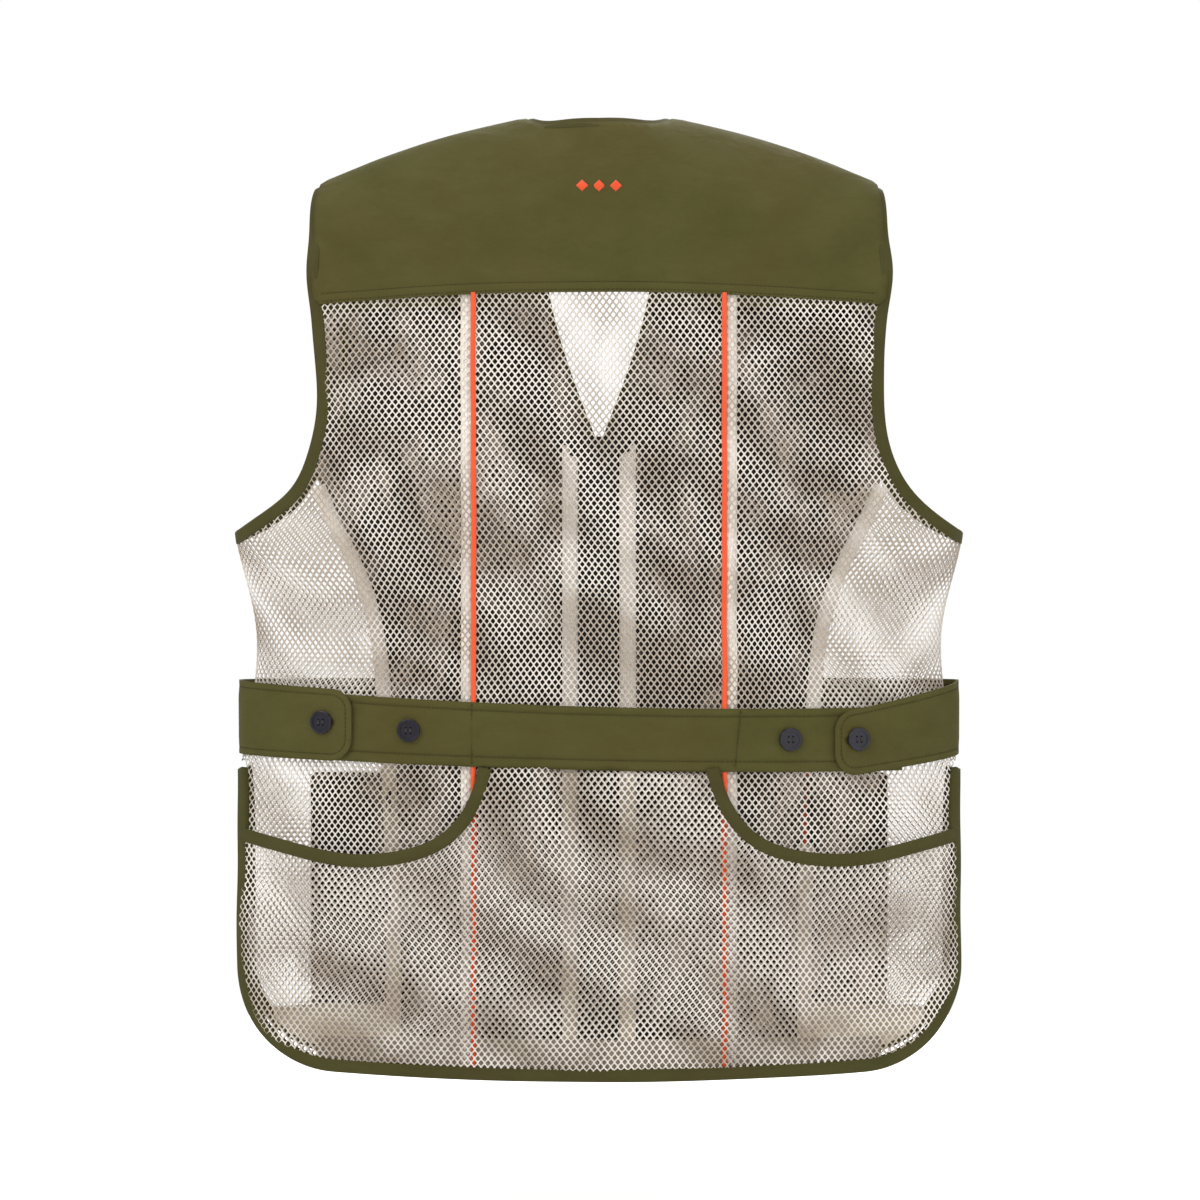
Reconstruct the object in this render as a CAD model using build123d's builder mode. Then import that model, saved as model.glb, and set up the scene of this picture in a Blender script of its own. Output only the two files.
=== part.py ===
"""Mesh-backed shooting vest, standing open as it does on a coat hanger. Millimetres.

+X is the wearer's right, +Y the way the wearer faces and +Z up. The origin is the middle of
the neck opening, level with the lower edge of the back neck binding.

The cloth's middle surface is an elliptical tube, closed along the two shoulder lines by a
rounded fold. Each panel is the stretch of that tube inside an outline drawn in the XZ plane.
"""

import os
from math import cos, pi, sin, sqrt

from build123d import *

os.makedirs("parts", exist_ok=True)

# ---- Driving dimensions -------------------------------------------------------------------

# Body tube: its half depth, and its half width at three heights with an even swell between.
WIDTH_STATIONS = [(-290, 290.0), (-400, 271.0), (-560, 291.0)]
TUBE_TOP = -105.0
TUBE_STEP = 40.0
TUBE_SECTIONS = 17
HALF_DEPTH = 70.0
CHEST_HALF_WIDTH = WIDTH_STATIONS[0][1]

# Shoulder line, from the neck point to the tip, and the rounding of the fold over it.
NECK_HALF = 63.0
NECK_Z = 15.0
SHOULDER_SPAN = 157.0
SHOULDER_DROP = 50.0
SHOULDER_BOW = 5.0
NECK_RISE = 25.0
FOLD_HEIGHT = 80.0
SEAM_FORWARD = 22.0

# Thicknesses, each centred on the middle surface, and the steps between stacked layers.
CLOTH = 1.2
TAPE = 2.6
LAYER_GAP = 0.3
BINDING_WIDTH = 10.0

# Edges of the garment, as (x, z) on the right-hand side.
ARMHOLE_BACK = [(221, -24), (228, -100), (221, -205), (241, -275), (300, -317)]
ARMHOLE_FRONT = [(221, -24), (229, -100), (224, -205), (243, -274), (300, -315)]
NECK_BACK = [(2, 10), (26, 10.4), (45, 11.8), (62, 24)]
NECK_FRONT = [(3, -232), (38, -128), (50, -62), (61, 0), (62.6, 24)]
YOKE_EDGE = [(-260, -137), (0, -126), (260, -137)]
SKIRT_EDGE_X = 282.5
VENT_TOP = -497.0
HEM_CORNER = 80.0
HEM_SIDE_Z = -731.0
HEM_CENTER_Z = -736.0

# Piping between the back's three panels, and along the front's curved seams.
PIPING_X = 97.0
PIPING_WIDTH = 4.0
PIPING_THICKNESS = 1.8
FRONT_SEAM = [(230, -262), (214, -300), (192, -345), (178, -395), (173, -440), (167, -560), (165, -745)]

# Waist belt over the back, with its two ends under the tabs.
BELT_HALF_LENGTH = 236.0
BELT_TOP = [(-245, -434), (0, -446.5), (245, -447)]
BELT_BOTTOM = [(-245, -487), (0, -495.5), (245, -497)]
BELT_THICKNESS = 2.0

# Side straps: an anchor sewn to the front, and a tab that buttons over the belt.
STRAP_HALF_WIDTH = 283.4
TAB_HALF_DEPTH = 77.0
ANCHOR_HALF_DEPTH = 71.2
STRAP_THICKNESS = 2.0
STRAP_GAP = 1.3
ANCHOR_END_X = 178.0
STRAP_TOP_Z = -427.0
STRAP_BOTTOM_Z = -485.0
TAB_CORNER = 17.0
TAB_LEFT = {"end_x": 192.0, "top_z": -433.0, "bottom_z": -489.0, "button": (214.0, -459.0)}
TAB_RIGHT = {"end_x": 183.0, "top_z": -449.0, "bottom_z": -500.0, "button": (200.0, -472.0)}
SPARE_LEFT = (147.0, -465.0)
SPARE_RIGHT = (148.0, -472.0)

# Four-hole buttons, sewn on through thread shanks.
BUTTON_RADIUS = 9.0
BUTTON_THICKNESS = 3.2
BUTTON_RECESS = 0.8
BUTTON_RIM = 2.4
BUTTON_HOLE_RADIUS = 0.9
BUTTON_HOLE_STEP = 3.6
SHANK_RADIUS = 2.0
TAB_SHANK = 5.3
SPARE_SHANK = 1.2
BUTTONHOLE_RADIUS = 11.6
THREAD_START = 0.1

# Rear game pouch, bulging out over the back skirt, with a curved mouth at each side.
POUCH_TOP = -480.0
POUCH_STEP = 24.0
POUCH_SECTIONS = 12
POUCH_STAND_OFF = 2.8
POUCH_FULLNESS = 13.0
POUCH_SIDE_GAP = 1.5
POUCH_SWELL = 1.2
POUCH_MOUTH = [(91, -488), (99, -516), (122, -545), (160, -559), (202, -560), (245, -551), (290, -541)]
HEM_OUTER = 4.4

# Front shell pockets, shoulder patches and their pads.
POCKET_NEAR_X = 36.0
POCKET_FAR_X = 232.0
POCKET_TOP_Z = -505.0
POCKET_BOTTOM_Z = -698.0
POCKET_DEPTH = 20.0
POCKET_CORNER = 28.0
GUSSET = 1.5
PATCH_NEAR_X = 84.0
PATCH_FAR_X = 206.0
PATCH_BOTTOM_Z = -300.0
PATCH_LIFT = 3.4
PATCH_CORNER = 40.0
PAD_INSET = 7.0

# Front zip.
ZIP_TOP = -237.0
ZIP_BOTTOM = -712.0
TAPE_BOTTOM = -725.0
TAPE_HALF = 16.0
TAPE_THICKNESS = 1.0
CHAIN_HALF = 3.2
CHAIN_GAP = 0.7
CHAIN_THICKNESS = 2.6
TOOTH_PITCH = 3.2
TOOTH_HEIGHT = 1.7
TOOTH_ROOT = 1.0
CHAIN_TOP = -240.0
CHAIN_BOTTOM = -702.0
SLIDER_LENGTH = 14.0
SLIDER_HALF = 5.4
SLIDER_PLATE = 1.2
SLIDER_CLEAR = 0.4
PIN_RADIUS = 0.7
PULL_LENGTH = 27.0
PULL_HALF = 3.6
PULL_THICKNESS = 1.8
FACING_WIDTH = 14.0

# Guard flap behind the zip, with a wider head under the point of the neck.
GUARD_LEFT = 17.0
GUARD_RIGHT = 15.0
GUARD_Y = 66.0
GUARD_HEAD_HALF = 25.0
GUARD_HEAD_HIGH = 6.0
GUARD_HEAD_LOW = 9.0

# Rings on the front, each in a webbing loop.
RING_X = 128.0
RING_Z = -322.0
RING_HALF = 13.0
RING_DROP = 19.0
RING_WIRE = 2.6
LOOP_HALF = 9.5
LOOP_RADIUS = 3.4
LOOP_BORE = 2.3
LOOP_TAIL = 17.0
TAIL_THICKNESS = 1.8

# Inside the back neck.
HANG_LOOP_HALF = 24.0
HANG_LOOP_DROP = 22.0
HANG_LOOP_WIDTH = 5.0
HANG_LOOP_Y = 50.2
HANG_LOOP_TOP = 4.0
LABEL_HALF = 21.0
LABEL_TOP = -12.0
LABEL_BOTTOM = -46.0

# Embroidered row of diamonds on the yoke.
MOTIF_Z = -44.0
MOTIF_STEP = 13.0
MOTIF_COUNT = 3
MOTIF_RADIUS = 4.5

REACH = 200.0
FAR = 340.0
CURVE_STEPS = 8


# ---- Form of the garment ------------------------------------------------------------------

def shoulder_line(x):
    """Height of the fold at x; over the neck opening it is only a guide, and rises."""
    away = abs(x)
    if away < NECK_HALF:
        return NECK_Z + NECK_RISE * cos(pi * away / (2 * NECK_HALF)) ** 2
    along = (away - NECK_HALF) / SHOULDER_SPAN
    return NECK_Z - SHOULDER_DROP * along + SHOULDER_BOW * sin(pi * min(along, 1.0))


def half_width(z):
    """Half width of the body tube's middle surface at height z."""
    if z >= WIDTH_STATIONS[0][0]:
        return WIDTH_STATIONS[0][1]
    for (high, wide), (low, next_wide) in zip(WIDTH_STATIONS, WIDTH_STATIONS[1:]):
        if z >= low:
            share = (high - z) / (high - low)
            return wide + (next_wide - wide) * (1 - cos(pi * share)) / 2
    return WIDTH_STATIONS[-1][1]


def body_stations():
    """The body tube's (z, half width, half depth) sections, evenly spaced down its height."""
    heights = [TUBE_TOP - TUBE_STEP * index for index in range(TUBE_SECTIONS)]
    return [(z, half_width(z), HALF_DEPTH) for z in heights]


def pouch_stations():
    """The game pouch's sections, which stand off the back by the pouch's bulge."""
    heights = [POUCH_TOP - POUCH_STEP * index for index in range(POUCH_SECTIONS)]
    return [(z, half_width(z) + POUCH_SIDE_GAP, HALF_DEPTH + pouch_bulge(z)) for z in heights]


def pouch_bulge(z):
    """How far the pouch stands off the back: most at mid-height, least at its top and hem."""
    share = (POUCH_TOP - z) / (POUCH_TOP - HEM_CENTER_Z)
    return POUCH_STAND_OFF + POUCH_FULLNESS * sin(pi * max(min(share, 1.0), 0.0)) ** POUCH_SWELL


def tube(stations, inner, outer, start):
    """Half of an elliptical tube, lofted through (z, half width, half depth) stations."""
    with BuildPart() as half:
        for z, wide, deep in stations:
            with BuildSketch(Plane.XY.offset(z)):
                with BuildLine():
                    far = EllipticalCenterArc((0, 0), wide + outer, deep + outer, start, arc_size=180)
                    near = EllipticalCenterArc((0, 0), wide + inner, deep + inner, start, arc_size=180)
                    Line(far @ 0, near @ 0)
                    Line(far @ 1, near @ 1)
                make_face()
        loft()
    return half.part


def back_wall(inner, outer):
    """Back half of the body below the yoke, between two offsets from the middle surface."""
    return tube(body_stations(), inner, outer, 180)


def front_wall(inner, outer):
    """Front half of the body below the yoke."""
    return tube(body_stations(), inner, outer, 0)


def pouch_wall(inner, outer):
    """Wall of the game pouch, which stands off the back by its bulge."""
    return tube(pouch_stations(), inner, outer, 180)


def shoulder_wall(inner, outer):
    """The rounded fold over both shoulders, with straight legs to just below the yoke."""
    step = 22
    with BuildPart() as fold:
        for index in range(-11, 12):
            x = index * step
            deep = HALF_DEPTH * sqrt(1 - (x / CHEST_HALF_WIDTH) ** 2)
            center = (0, shoulder_line(x) - FOLD_HEIGHT)
            low = YOKE_EDGE[0][1] - 10
            with BuildSketch(Plane.YZ.offset(x)):
                with BuildLine():
                    far = EllipticalCenterArc(center, deep + outer, FOLD_HEIGHT + outer, 0, arc_size=180)
                    near = EllipticalCenterArc(center, deep + inner, FOLD_HEIGHT + inner, 0, arc_size=180)
                    for side, end in ((1, 0), (-1, 1)):
                        Polyline(far @ end, (side * (deep + outer), low), (side * (deep + inner), low), near @ end)
                make_face()
        loft()
    return fold.part


def clip(shell, outline):
    """The stretch of a shell inside an XZ outline."""
    with BuildPart() as piece:
        add(shell)
        with BuildSketch(Plane.XZ):
            add(outline)
        extrude(amount=REACH, both=True, mode=Mode.INTERSECT)
    return piece.part


def slab(part, low_y, high_y):
    """The stretch of a part between two values of y."""
    with BuildPart() as piece:
        add(part)
        with Locations((0, (low_y + high_y) / 2, 0)):
            Box(2 * FAR, high_y - low_y, 6 * FAR, mode=Mode.INTERSECT)
    return piece.part


def save(builder, name):
    """Label a finished piece and write it."""
    builder.part.label = name
    export_step(builder.part, f"parts/{name}.step")


def save_pair(right, name):
    """Write a right-hand piece and its mirror image for the left."""
    save(right, f"right_{name}")
    with BuildPart() as left:
        mirror(right.part, about=Plane.YZ)
    save(left, f"left_{name}")


# ---- Outlines in the XZ plane ---------------------------------------------------------------

def side_curve(points, grow):
    """A spline through points, moved by grow towards the cloth on its right-hand side."""
    edge = Spline(points, mode=Mode.PRIVATE)
    moved = []
    for step in range(CURVE_STEPS + 1):
        along = edge % (step / CURVE_STEPS)
        moved.append(edge @ (step / CURVE_STEPS) + Vector(along.Y, -along.X) * grow)
    return Spline(moved)


def armhole(points, grow=0.0):
    """The space outside the right armhole's edge, widened by grow."""
    with BuildSketch(Plane.XZ) as gap:
        with BuildLine():
            edge = side_curve(points, grow)
            Polyline(edge @ 1, (FAR, (edge @ 1).Y), (FAR, 60), ((edge @ 0).X, 60), edge @ 0)
        make_face()
    return gap.sketch_local


def neck(points, grow=0.0):
    """The space inside the neck's edge, on both sides of the middle, widened by grow."""
    with BuildSketch(Plane.XZ) as gap:
        with BuildLine():
            edge = side_curve(points, grow)
            Polyline(edge @ 1, ((edge @ 1).X, 80), (0, 80), (0, (edge @ 0).Y), edge @ 0)
        make_face()
        mirror(about=Plane.YZ)
    return gap.sketch_local


def skirt(grow=0.0):
    """What the skirt's side edges, round corners and hem leave inside, less grow."""
    side = SKIRT_EDGE_X - grow
    corner = HEM_CORNER - grow
    with BuildSketch(Plane.XZ) as inside:
        with BuildLine():
            top = Polyline((side, VENT_TOP), (FAR, VENT_TOP), (FAR, 80), (0, 80))
            down = Line((side, VENT_TOP), (side, HEM_SIDE_Z + HEM_CORNER))
            hem = TangentArc(
                (0, HEM_CENTER_Z + grow), (SKIRT_EDGE_X - HEM_CORNER, HEM_SIDE_Z + grow), tangent=(1, 0)
            )
            RadiusArc(down @ 1, hem @ 1, corner)
            Line(hem @ 0, top @ 1)
        make_face()
        mirror(about=Plane.YZ)
    return inside.sketch_local


def box_zone(low_x, high_x, low_z, high_z):
    """A plain rectangle in the XZ plane."""
    with BuildSketch(Plane.XZ) as zone:
        with BuildLine():
            Polyline((low_x, low_z), (high_x, low_z), (high_x, high_z), (low_x, high_z), close=True)
        make_face()
    return zone.sketch_local


def outside_seam(shift):
    """Everything to the right of the front's curved seam, moved sideways by shift."""
    with BuildSketch(Plane.XZ) as zone:
        with BuildLine():
            edge = Spline([(x + shift, z) for x, z in FRONT_SEAM])
            Polyline(edge @ 1, (FAR, FRONT_SEAM[-1][1]), (FAR, FRONT_SEAM[0][1]), edge @ 0)
        make_face()
    return zone.sketch_local


def under_arc(points):
    """Everything below an arc through three points."""
    with BuildSketch(Plane.XZ) as zone:
        with BuildLine():
            edge = ThreePointArc(*points)
            Polyline(edge @ 1, (FAR, points[-1][1]), (FAR, -800), (-FAR, -800), (-FAR, points[0][1]), edge @ 0)
        make_face()
    return zone.sketch_local


def over_mouth(grow=0.0):
    """The open space over the right-hand mouth of the pouch, widened by grow."""
    with BuildSketch(Plane.XZ) as gap:
        with BuildLine():
            edge = side_curve(POUCH_MOUTH, grow)
            Polyline(edge @ 1, (FAR, (edge @ 1).Y), (FAR, -440), ((edge @ 0).X, -440), edge @ 0)
        make_face()
    return gap.sketch_local


def region(base, plus=(), inside=(), outside=()):
    """One outline from others: base, joined with some, kept inside some and cut away by others."""
    with BuildSketch(Plane.XZ) as zone:
        add(base)
        for shape in plus:
            add(shape)
        for shape in inside:
            add(shape, mode=Mode.INTERSECT)
        for shape in outside:
            add(shape, mode=Mode.SUBTRACT)
    return zone.sketch_local


def mirror_zone(outline):
    """An outline's mirror image on the other side."""
    with BuildSketch(Plane.XZ) as zone:
        mirror(outline, about=Plane.YZ)
    return zone.sketch_local


EDGE = CLOTH / 2
BELT_INNER = PIPING_THICKNESS - EDGE + LAYER_GAP
ARM_BACK = armhole(ARMHOLE_BACK)
ARM_BACK_WIDE = armhole(ARMHOLE_BACK, BINDING_WIDTH)
ARM_FRONT = armhole(ARMHOLE_FRONT)
ARM_FRONT_WIDE = armhole(ARMHOLE_FRONT, BINDING_WIDTH)
NECK_BACK_GAP = neck(NECK_BACK)
NECK_BACK_WIDE = neck(NECK_BACK, BINDING_WIDTH)
NECK_FRONT_GAP = neck(NECK_FRONT)
NECK_FRONT_WIDE = neck(NECK_FRONT, BINDING_WIDTH)
SKIRT = skirt()
SKIRT_INSIDE = skirt(BINDING_WIDTH)
BELOW_YOKE = under_arc(YOKE_EDGE)
RIGHT_HALF = box_zone(0, FAR, -800, 90)
FULL = box_zone(-FAR, FAR, -800, 90)
ZIP_ZONE = box_zone(-TAPE_HALF, TAPE_HALF, -800, NECK_FRONT[0][1] + 2)
ARMS_BACK_WIDE = region(ARM_BACK_WIDE, plus=(mirror_zone(ARM_BACK_WIDE),))
ARMS_FRONT_WIDE = region(ARM_FRONT_WIDE, plus=(mirror_zone(ARM_FRONT_WIDE),))

shoulder_cloth = shoulder_wall(-EDGE, EDGE)
shoulder_tape = shoulder_wall(-TAPE / 2, TAPE / 2)
back_cloth = back_wall(-EDGE, EDGE)
back_tape = back_wall(-TAPE / 2, TAPE / 2)
front_cloth = front_wall(-EDGE, EDGE)
front_tape = front_wall(-TAPE / 2, TAPE / 2)


# ---- Yokes over the shoulders -----------------------------------------------------------------

yoke_behind = clip(shoulder_cloth, region(FULL, outside=(BELOW_YOKE, ARMS_BACK_WIDE, NECK_BACK_WIDE)))
yoke_ahead = clip(shoulder_cloth, region(FULL, outside=(BELOW_YOKE, ARMS_FRONT_WIDE, NECK_FRONT_WIDE)))
yoke_behind = slab(yoke_behind, -REACH, 0)
yoke_ahead_right = clip(yoke_ahead, RIGHT_HALF)

with BuildPart() as back_yoke:
    add(yoke_behind)
    add(slab(yoke_ahead, 0, SEAM_FORWARD))
save(back_yoke, "back_yoke")

with BuildPart() as front_yoke:
    add(slab(yoke_ahead_right, SEAM_FORWARD, REACH))
save_pair(front_yoke, "front_yoke")


# ---- Back: three mesh panels, with piping in their seams --------------------------------------

BACK_ZONE = region(BELOW_YOKE, outside=(ARMS_BACK_WIDE,), inside=(SKIRT_INSIDE,))
PIPING_NEAR = PIPING_X - PIPING_WIDTH / 2
PIPING_FAR = PIPING_X + PIPING_WIDTH / 2

with BuildPart() as back_center_mesh:
    add(clip(back_cloth, region(BACK_ZONE, inside=(box_zone(-PIPING_NEAR, PIPING_NEAR, -800, 0),))))
save(back_center_mesh, "back_center_mesh")

with BuildPart() as back_side_mesh:
    add(clip(back_cloth, region(BACK_ZONE, inside=(box_zone(PIPING_FAR, FAR, -800, 0),))))
save_pair(back_side_mesh, "back_side_mesh")

with BuildPart() as back_piping:
    cord = back_wall(-EDGE, PIPING_THICKNESS - EDGE)
    add(clip(cord, region(BACK_ZONE, inside=(box_zone(PIPING_NEAR, PIPING_FAR, -800, 0),))))
save_pair(back_piping, "back_piping")


# ---- Front: twill panels, mesh sides and piping in the curved seams ---------------------------

FRONT_ZONE = region(BELOW_YOKE, outside=(ARM_FRONT_WIDE, NECK_FRONT_WIDE, ZIP_ZONE), inside=(SKIRT_INSIDE, RIGHT_HALF))
SEAM_NEAR = outside_seam(-PIPING_WIDTH / 2)
SEAM_FAR = outside_seam(PIPING_WIDTH / 2)

with BuildPart() as front_panel:
    add(clip(front_cloth, region(FRONT_ZONE, outside=(SEAM_NEAR,))))
save_pair(front_panel, "front_panel")

with BuildPart() as front_side_mesh:
    add(clip(front_cloth, region(FRONT_ZONE, inside=(SEAM_FAR,))))
save_pair(front_side_mesh, "front_side_mesh")

with BuildPart() as front_piping:
    cord = front_wall(-EDGE, PIPING_THICKNESS - EDGE)
    add(clip(cord, region(FRONT_ZONE, inside=(SEAM_NEAR,), outside=(SEAM_FAR,))))
save_pair(front_piping, "front_piping")


# ---- Bindings round the neck, the armholes and the skirts --------------------------------------

neck_behind = region(NECK_BACK_WIDE, outside=(NECK_BACK_GAP,))
neck_ahead = region(NECK_FRONT_WIDE, outside=(NECK_FRONT_GAP,))
with BuildPart() as neck_binding:
    add(slab(clip(shoulder_tape, neck_behind), -REACH, 0))
    add(slab(clip(shoulder_tape, region(neck_ahead, outside=(BELOW_YOKE,))), 0, REACH))
    add(clip(front_tape, region(neck_ahead, inside=(BELOW_YOKE,))))
save(neck_binding, "neck_binding")

arm_behind = region(ARM_BACK_WIDE, outside=(ARM_BACK,))
arm_ahead = region(ARM_FRONT_WIDE, outside=(ARM_FRONT,))
with BuildPart() as armhole_binding:
    add(slab(clip(shoulder_tape, region(arm_behind, outside=(BELOW_YOKE,))), -REACH, 0))
    add(slab(clip(shoulder_tape, region(arm_ahead, outside=(BELOW_YOKE,))), 0, REACH))
    add(clip(back_tape, region(arm_behind, inside=(BELOW_YOKE,))))
    add(clip(front_tape, region(arm_ahead, inside=(BELOW_YOKE,))))
save_pair(armhole_binding, "armhole_binding")

BELOW_VENT = box_zone(-FAR, FAR, -800, VENT_TOP)
skirt_rim = region(SKIRT, outside=(SKIRT_INSIDE,), inside=(BELOW_VENT,))
with BuildPart() as back_hem_binding:
    add(clip(back_wall(-TAPE / 2, HEM_OUTER), skirt_rim))
save(back_hem_binding, "back_hem_binding")

with BuildPart() as front_hem_binding:
    add(clip(front_tape, region(skirt_rim, inside=(box_zone(1, FAR, -800, 0),))))
save_pair(front_hem_binding, "front_hem_binding")


# ---- Game pouch over the back skirt -------------------------------------------------------------

POUCH_GAP = region(over_mouth(), plus=(mirror_zone(over_mouth()),))
POUCH_GAP_WIDE = region(over_mouth(BINDING_WIDTH), plus=(mirror_zone(over_mouth(BINDING_WIDTH)),))
BELOW_BELT = under_arc(BELT_BOTTOM)

with BuildPart() as game_pouch:
    add(clip(pouch_wall(-EDGE, EDGE), region(BELOW_BELT, outside=(POUCH_GAP_WIDE,), inside=(SKIRT_INSIDE,))))
save(game_pouch, "game_pouch")

with BuildPart() as pouch_mouth_binding:
    rim = region(over_mouth(BINDING_WIDTH), outside=(over_mouth(),), inside=(SKIRT_INSIDE, BELOW_BELT))
    add(clip(pouch_wall(-TAPE / 2, TAPE / 2), rim))
save_pair(pouch_mouth_binding, "pouch_mouth_binding")


# ---- Waist belt, side straps and buttons ----------------------------------------------------------

BELT_OUTER = BELT_INNER + BELT_THICKNESS

with BuildPart() as waist_belt:
    ends = box_zone(-BELT_HALF_LENGTH, BELT_HALF_LENGTH, -800, 0)
    add(clip(back_wall(BELT_INNER, BELT_OUTER), region(under_arc(BELT_TOP), inside=(ends,), outside=(BELOW_BELT,))))
save(waist_belt, "waist_belt")


def strap_wall(deep):
    """A plain elliptical tube that a side strap is cut from."""
    with BuildPart() as wall:
        with BuildSketch(Plane.XY.offset(-FAR)):
            Ellipse(STRAP_HALF_WIDTH + STRAP_THICKNESS, deep + STRAP_THICKNESS)
            Ellipse(STRAP_HALF_WIDTH, deep, mode=Mode.SUBTRACT)
        extrude(amount=-FAR)
    return wall.part


def skin_plane(x, z, wide, deep, side):
    """A plane on an elliptical wall, facing out: side is -1 at the back and 1 at the front."""
    y = side * deep * sqrt(1 - (x / wide) ** 2)
    out = Vector(x / wide**2, y / deep**2, 0).normalized()
    return Plane(origin=(x, y, z), x_dir=(-out.Y, out.X, 0), z_dir=out)


def belt_plane(x, z):
    """The plane on the outside of the belt at x and z."""
    wide = half_width(z) + BELT_OUTER
    return skin_plane(x, z, wide, HALF_DEPTH + BELT_OUTER, -1)


def button(plane, shank):
    """A four-hole button held off its plane by a thread shank."""
    top = shank + BUTTON_THICKNESS
    with BuildPart() as disc:
        with BuildSketch(plane.offset(shank)):
            Circle(BUTTON_RADIUS)
        extrude(amount=BUTTON_THICKNESS)
        fillet(disc.edges(), BUTTON_RECESS)
        with BuildSketch(plane.offset(top)):
            Circle(BUTTON_RADIUS - BUTTON_RIM)
        extrude(amount=-BUTTON_RECESS, mode=Mode.SUBTRACT)
        with BuildSketch(plane.offset(top)):
            with GridLocations(BUTTON_HOLE_STEP, BUTTON_HOLE_STEP, 2, 2):
                Circle(BUTTON_HOLE_RADIUS)
        extrude(amount=-BUTTON_THICKNESS, mode=Mode.SUBTRACT)
    return disc.part


def waist_tab(side, dims):
    """A tab with a rounded end and a hole that its button passes through: side is 1 on the right."""
    with BuildSketch(Plane.XZ) as outline:
        with BuildLine():
            Polyline(
                (side * dims["end_x"], dims["top_z"]),
                (side * (STRAP_HALF_WIDTH + 9), STRAP_TOP_Z),
                (side * (STRAP_HALF_WIDTH + 9), STRAP_BOTTOM_Z),
                (side * dims["end_x"], dims["bottom_z"]),
                close=True,
            )
        make_face()
        tip = outline.vertices().sort_by(Axis.X)
        fillet(tip[:2] if side > 0 else tip[-2:], TAB_CORNER)
    button_x, button_z = dims["button"]
    hole = belt_plane(side * button_x, button_z)
    with BuildPart() as tab:
        add(clip(slab(strap_wall(TAB_HALF_DEPTH), -REACH, -STRAP_GAP), outline.sketch_local))
        with BuildSketch(hole):
            Circle(BUTTONHOLE_RADIUS)
        extrude(amount=BUTTONHOLE_RADIUS * 2, mode=Mode.SUBTRACT)
    return tab.part


with BuildPart() as left_waist_tab:
    add(waist_tab(-1, TAB_LEFT))
save(left_waist_tab, "left_waist_tab")

with BuildPart() as right_waist_tab:
    add(waist_tab(1, TAB_RIGHT))
save(right_waist_tab, "right_waist_tab")

with BuildPart() as strap_anchor:
    stretch = box_zone(ANCHOR_END_X, FAR, STRAP_BOTTOM_Z, STRAP_TOP_Z)
    add(clip(slab(strap_wall(ANCHOR_HALF_DEPTH), STRAP_GAP, REACH), stretch))
save_pair(strap_anchor, "strap_anchor")

BUTTON_SPOTS = {
    "left_tab_button": (-TAB_LEFT["button"][0], TAB_LEFT["button"][1], TAB_SHANK),
    "right_tab_button": (TAB_RIGHT["button"][0], TAB_RIGHT["button"][1], TAB_SHANK),
    "left_spare_button": (-SPARE_LEFT[0], SPARE_LEFT[1], SPARE_SHANK),
    "right_spare_button": (SPARE_RIGHT[0], SPARE_RIGHT[1], SPARE_SHANK),
}
for name, (x, z, shank) in BUTTON_SPOTS.items():
    with BuildPart() as sewn_button:
        add(button(belt_plane(x, z), shank))
    save(sewn_button, name)

with BuildPart() as button_threads:
    for x, z, shank in BUTTON_SPOTS.values():
        with BuildSketch(belt_plane(x, z).offset(THREAD_START)):
            Circle(SHANK_RADIUS)
        extrude(amount=shank - THREAD_START)
save(button_threads, "button_threads")


# ---- Front zip: tapes, teeth, stops, box, slider and pull -------------------------------------------

def front_plane(y):
    """An upright plane facing the front at y."""
    return Plane(origin=(0, y, 0), x_dir=(-1, 0, 0), z_dir=(0, 1, 0))


def block(low_x, high_x, low_y, high_y, low_z, high_z):
    """A plain box between two corners, added to the part being built."""
    with Locations(((low_x + high_x) / 2, (low_y + high_y) / 2, (low_z + high_z) / 2)):
        Box(high_x - low_x, high_y - low_y, high_z - low_z)


ZIP_Y = HALF_DEPTH
CHAIN_FRONT = ZIP_Y + CHAIN_THICKNESS / 2
CHAIN_BACK = ZIP_Y - CHAIN_THICKNESS / 2
TAPE_NEAR = CHAIN_HALF + 0.2

with BuildPart() as zip_tape:
    block(TAPE_NEAR, TAPE_HALF, ZIP_Y - TAPE_THICKNESS / 2, ZIP_Y + TAPE_THICKNESS / 2, TAPE_BOTTOM, ZIP_TOP)
save_pair(zip_tape, "zip_tape")

TEETH = int((CHAIN_TOP - CHAIN_BOTTOM) / TOOTH_PITCH) - 1
CHAIN_MIDDLE = (CHAIN_TOP + CHAIN_BOTTOM) / 2


def tooth_strip(side):
    """One side's row of teeth on its beaded edge; the two sides' teeth alternate."""
    shift = side * TOOTH_PITCH / 4
    tooth_length = CHAIN_HALF - CHAIN_GAP
    with BuildPart() as strip:
        with BuildSketch(front_plane(CHAIN_BACK)):
            with Locations((-side * (CHAIN_HALF - TOOTH_ROOT / 2), CHAIN_MIDDLE)):
                Rectangle(TOOTH_ROOT, CHAIN_TOP - CHAIN_BOTTOM)
            with Locations((-side * (CHAIN_GAP + tooth_length / 2), CHAIN_MIDDLE + shift)):
                with GridLocations(0, TOOTH_PITCH, 1, TEETH):
                    Rectangle(tooth_length, TOOTH_HEIGHT)
        extrude(amount=CHAIN_THICKNESS)
    return strip.part


with BuildPart() as left_zip_teeth:
    add(tooth_strip(-1))
save(left_zip_teeth, "left_zip_teeth")

with BuildPart() as right_zip_teeth:
    add(tooth_strip(1))
save(right_zip_teeth, "right_zip_teeth")

with BuildPart() as zip_stops:
    for side in (-1, 1):
        near, far = sorted((side * 0.9, side * CHAIN_HALF))
        block(near, far, CHAIN_BACK, CHAIN_FRONT, CHAIN_TOP + 0.2, ZIP_TOP)
save(zip_stops, "zip_stops")

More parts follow.
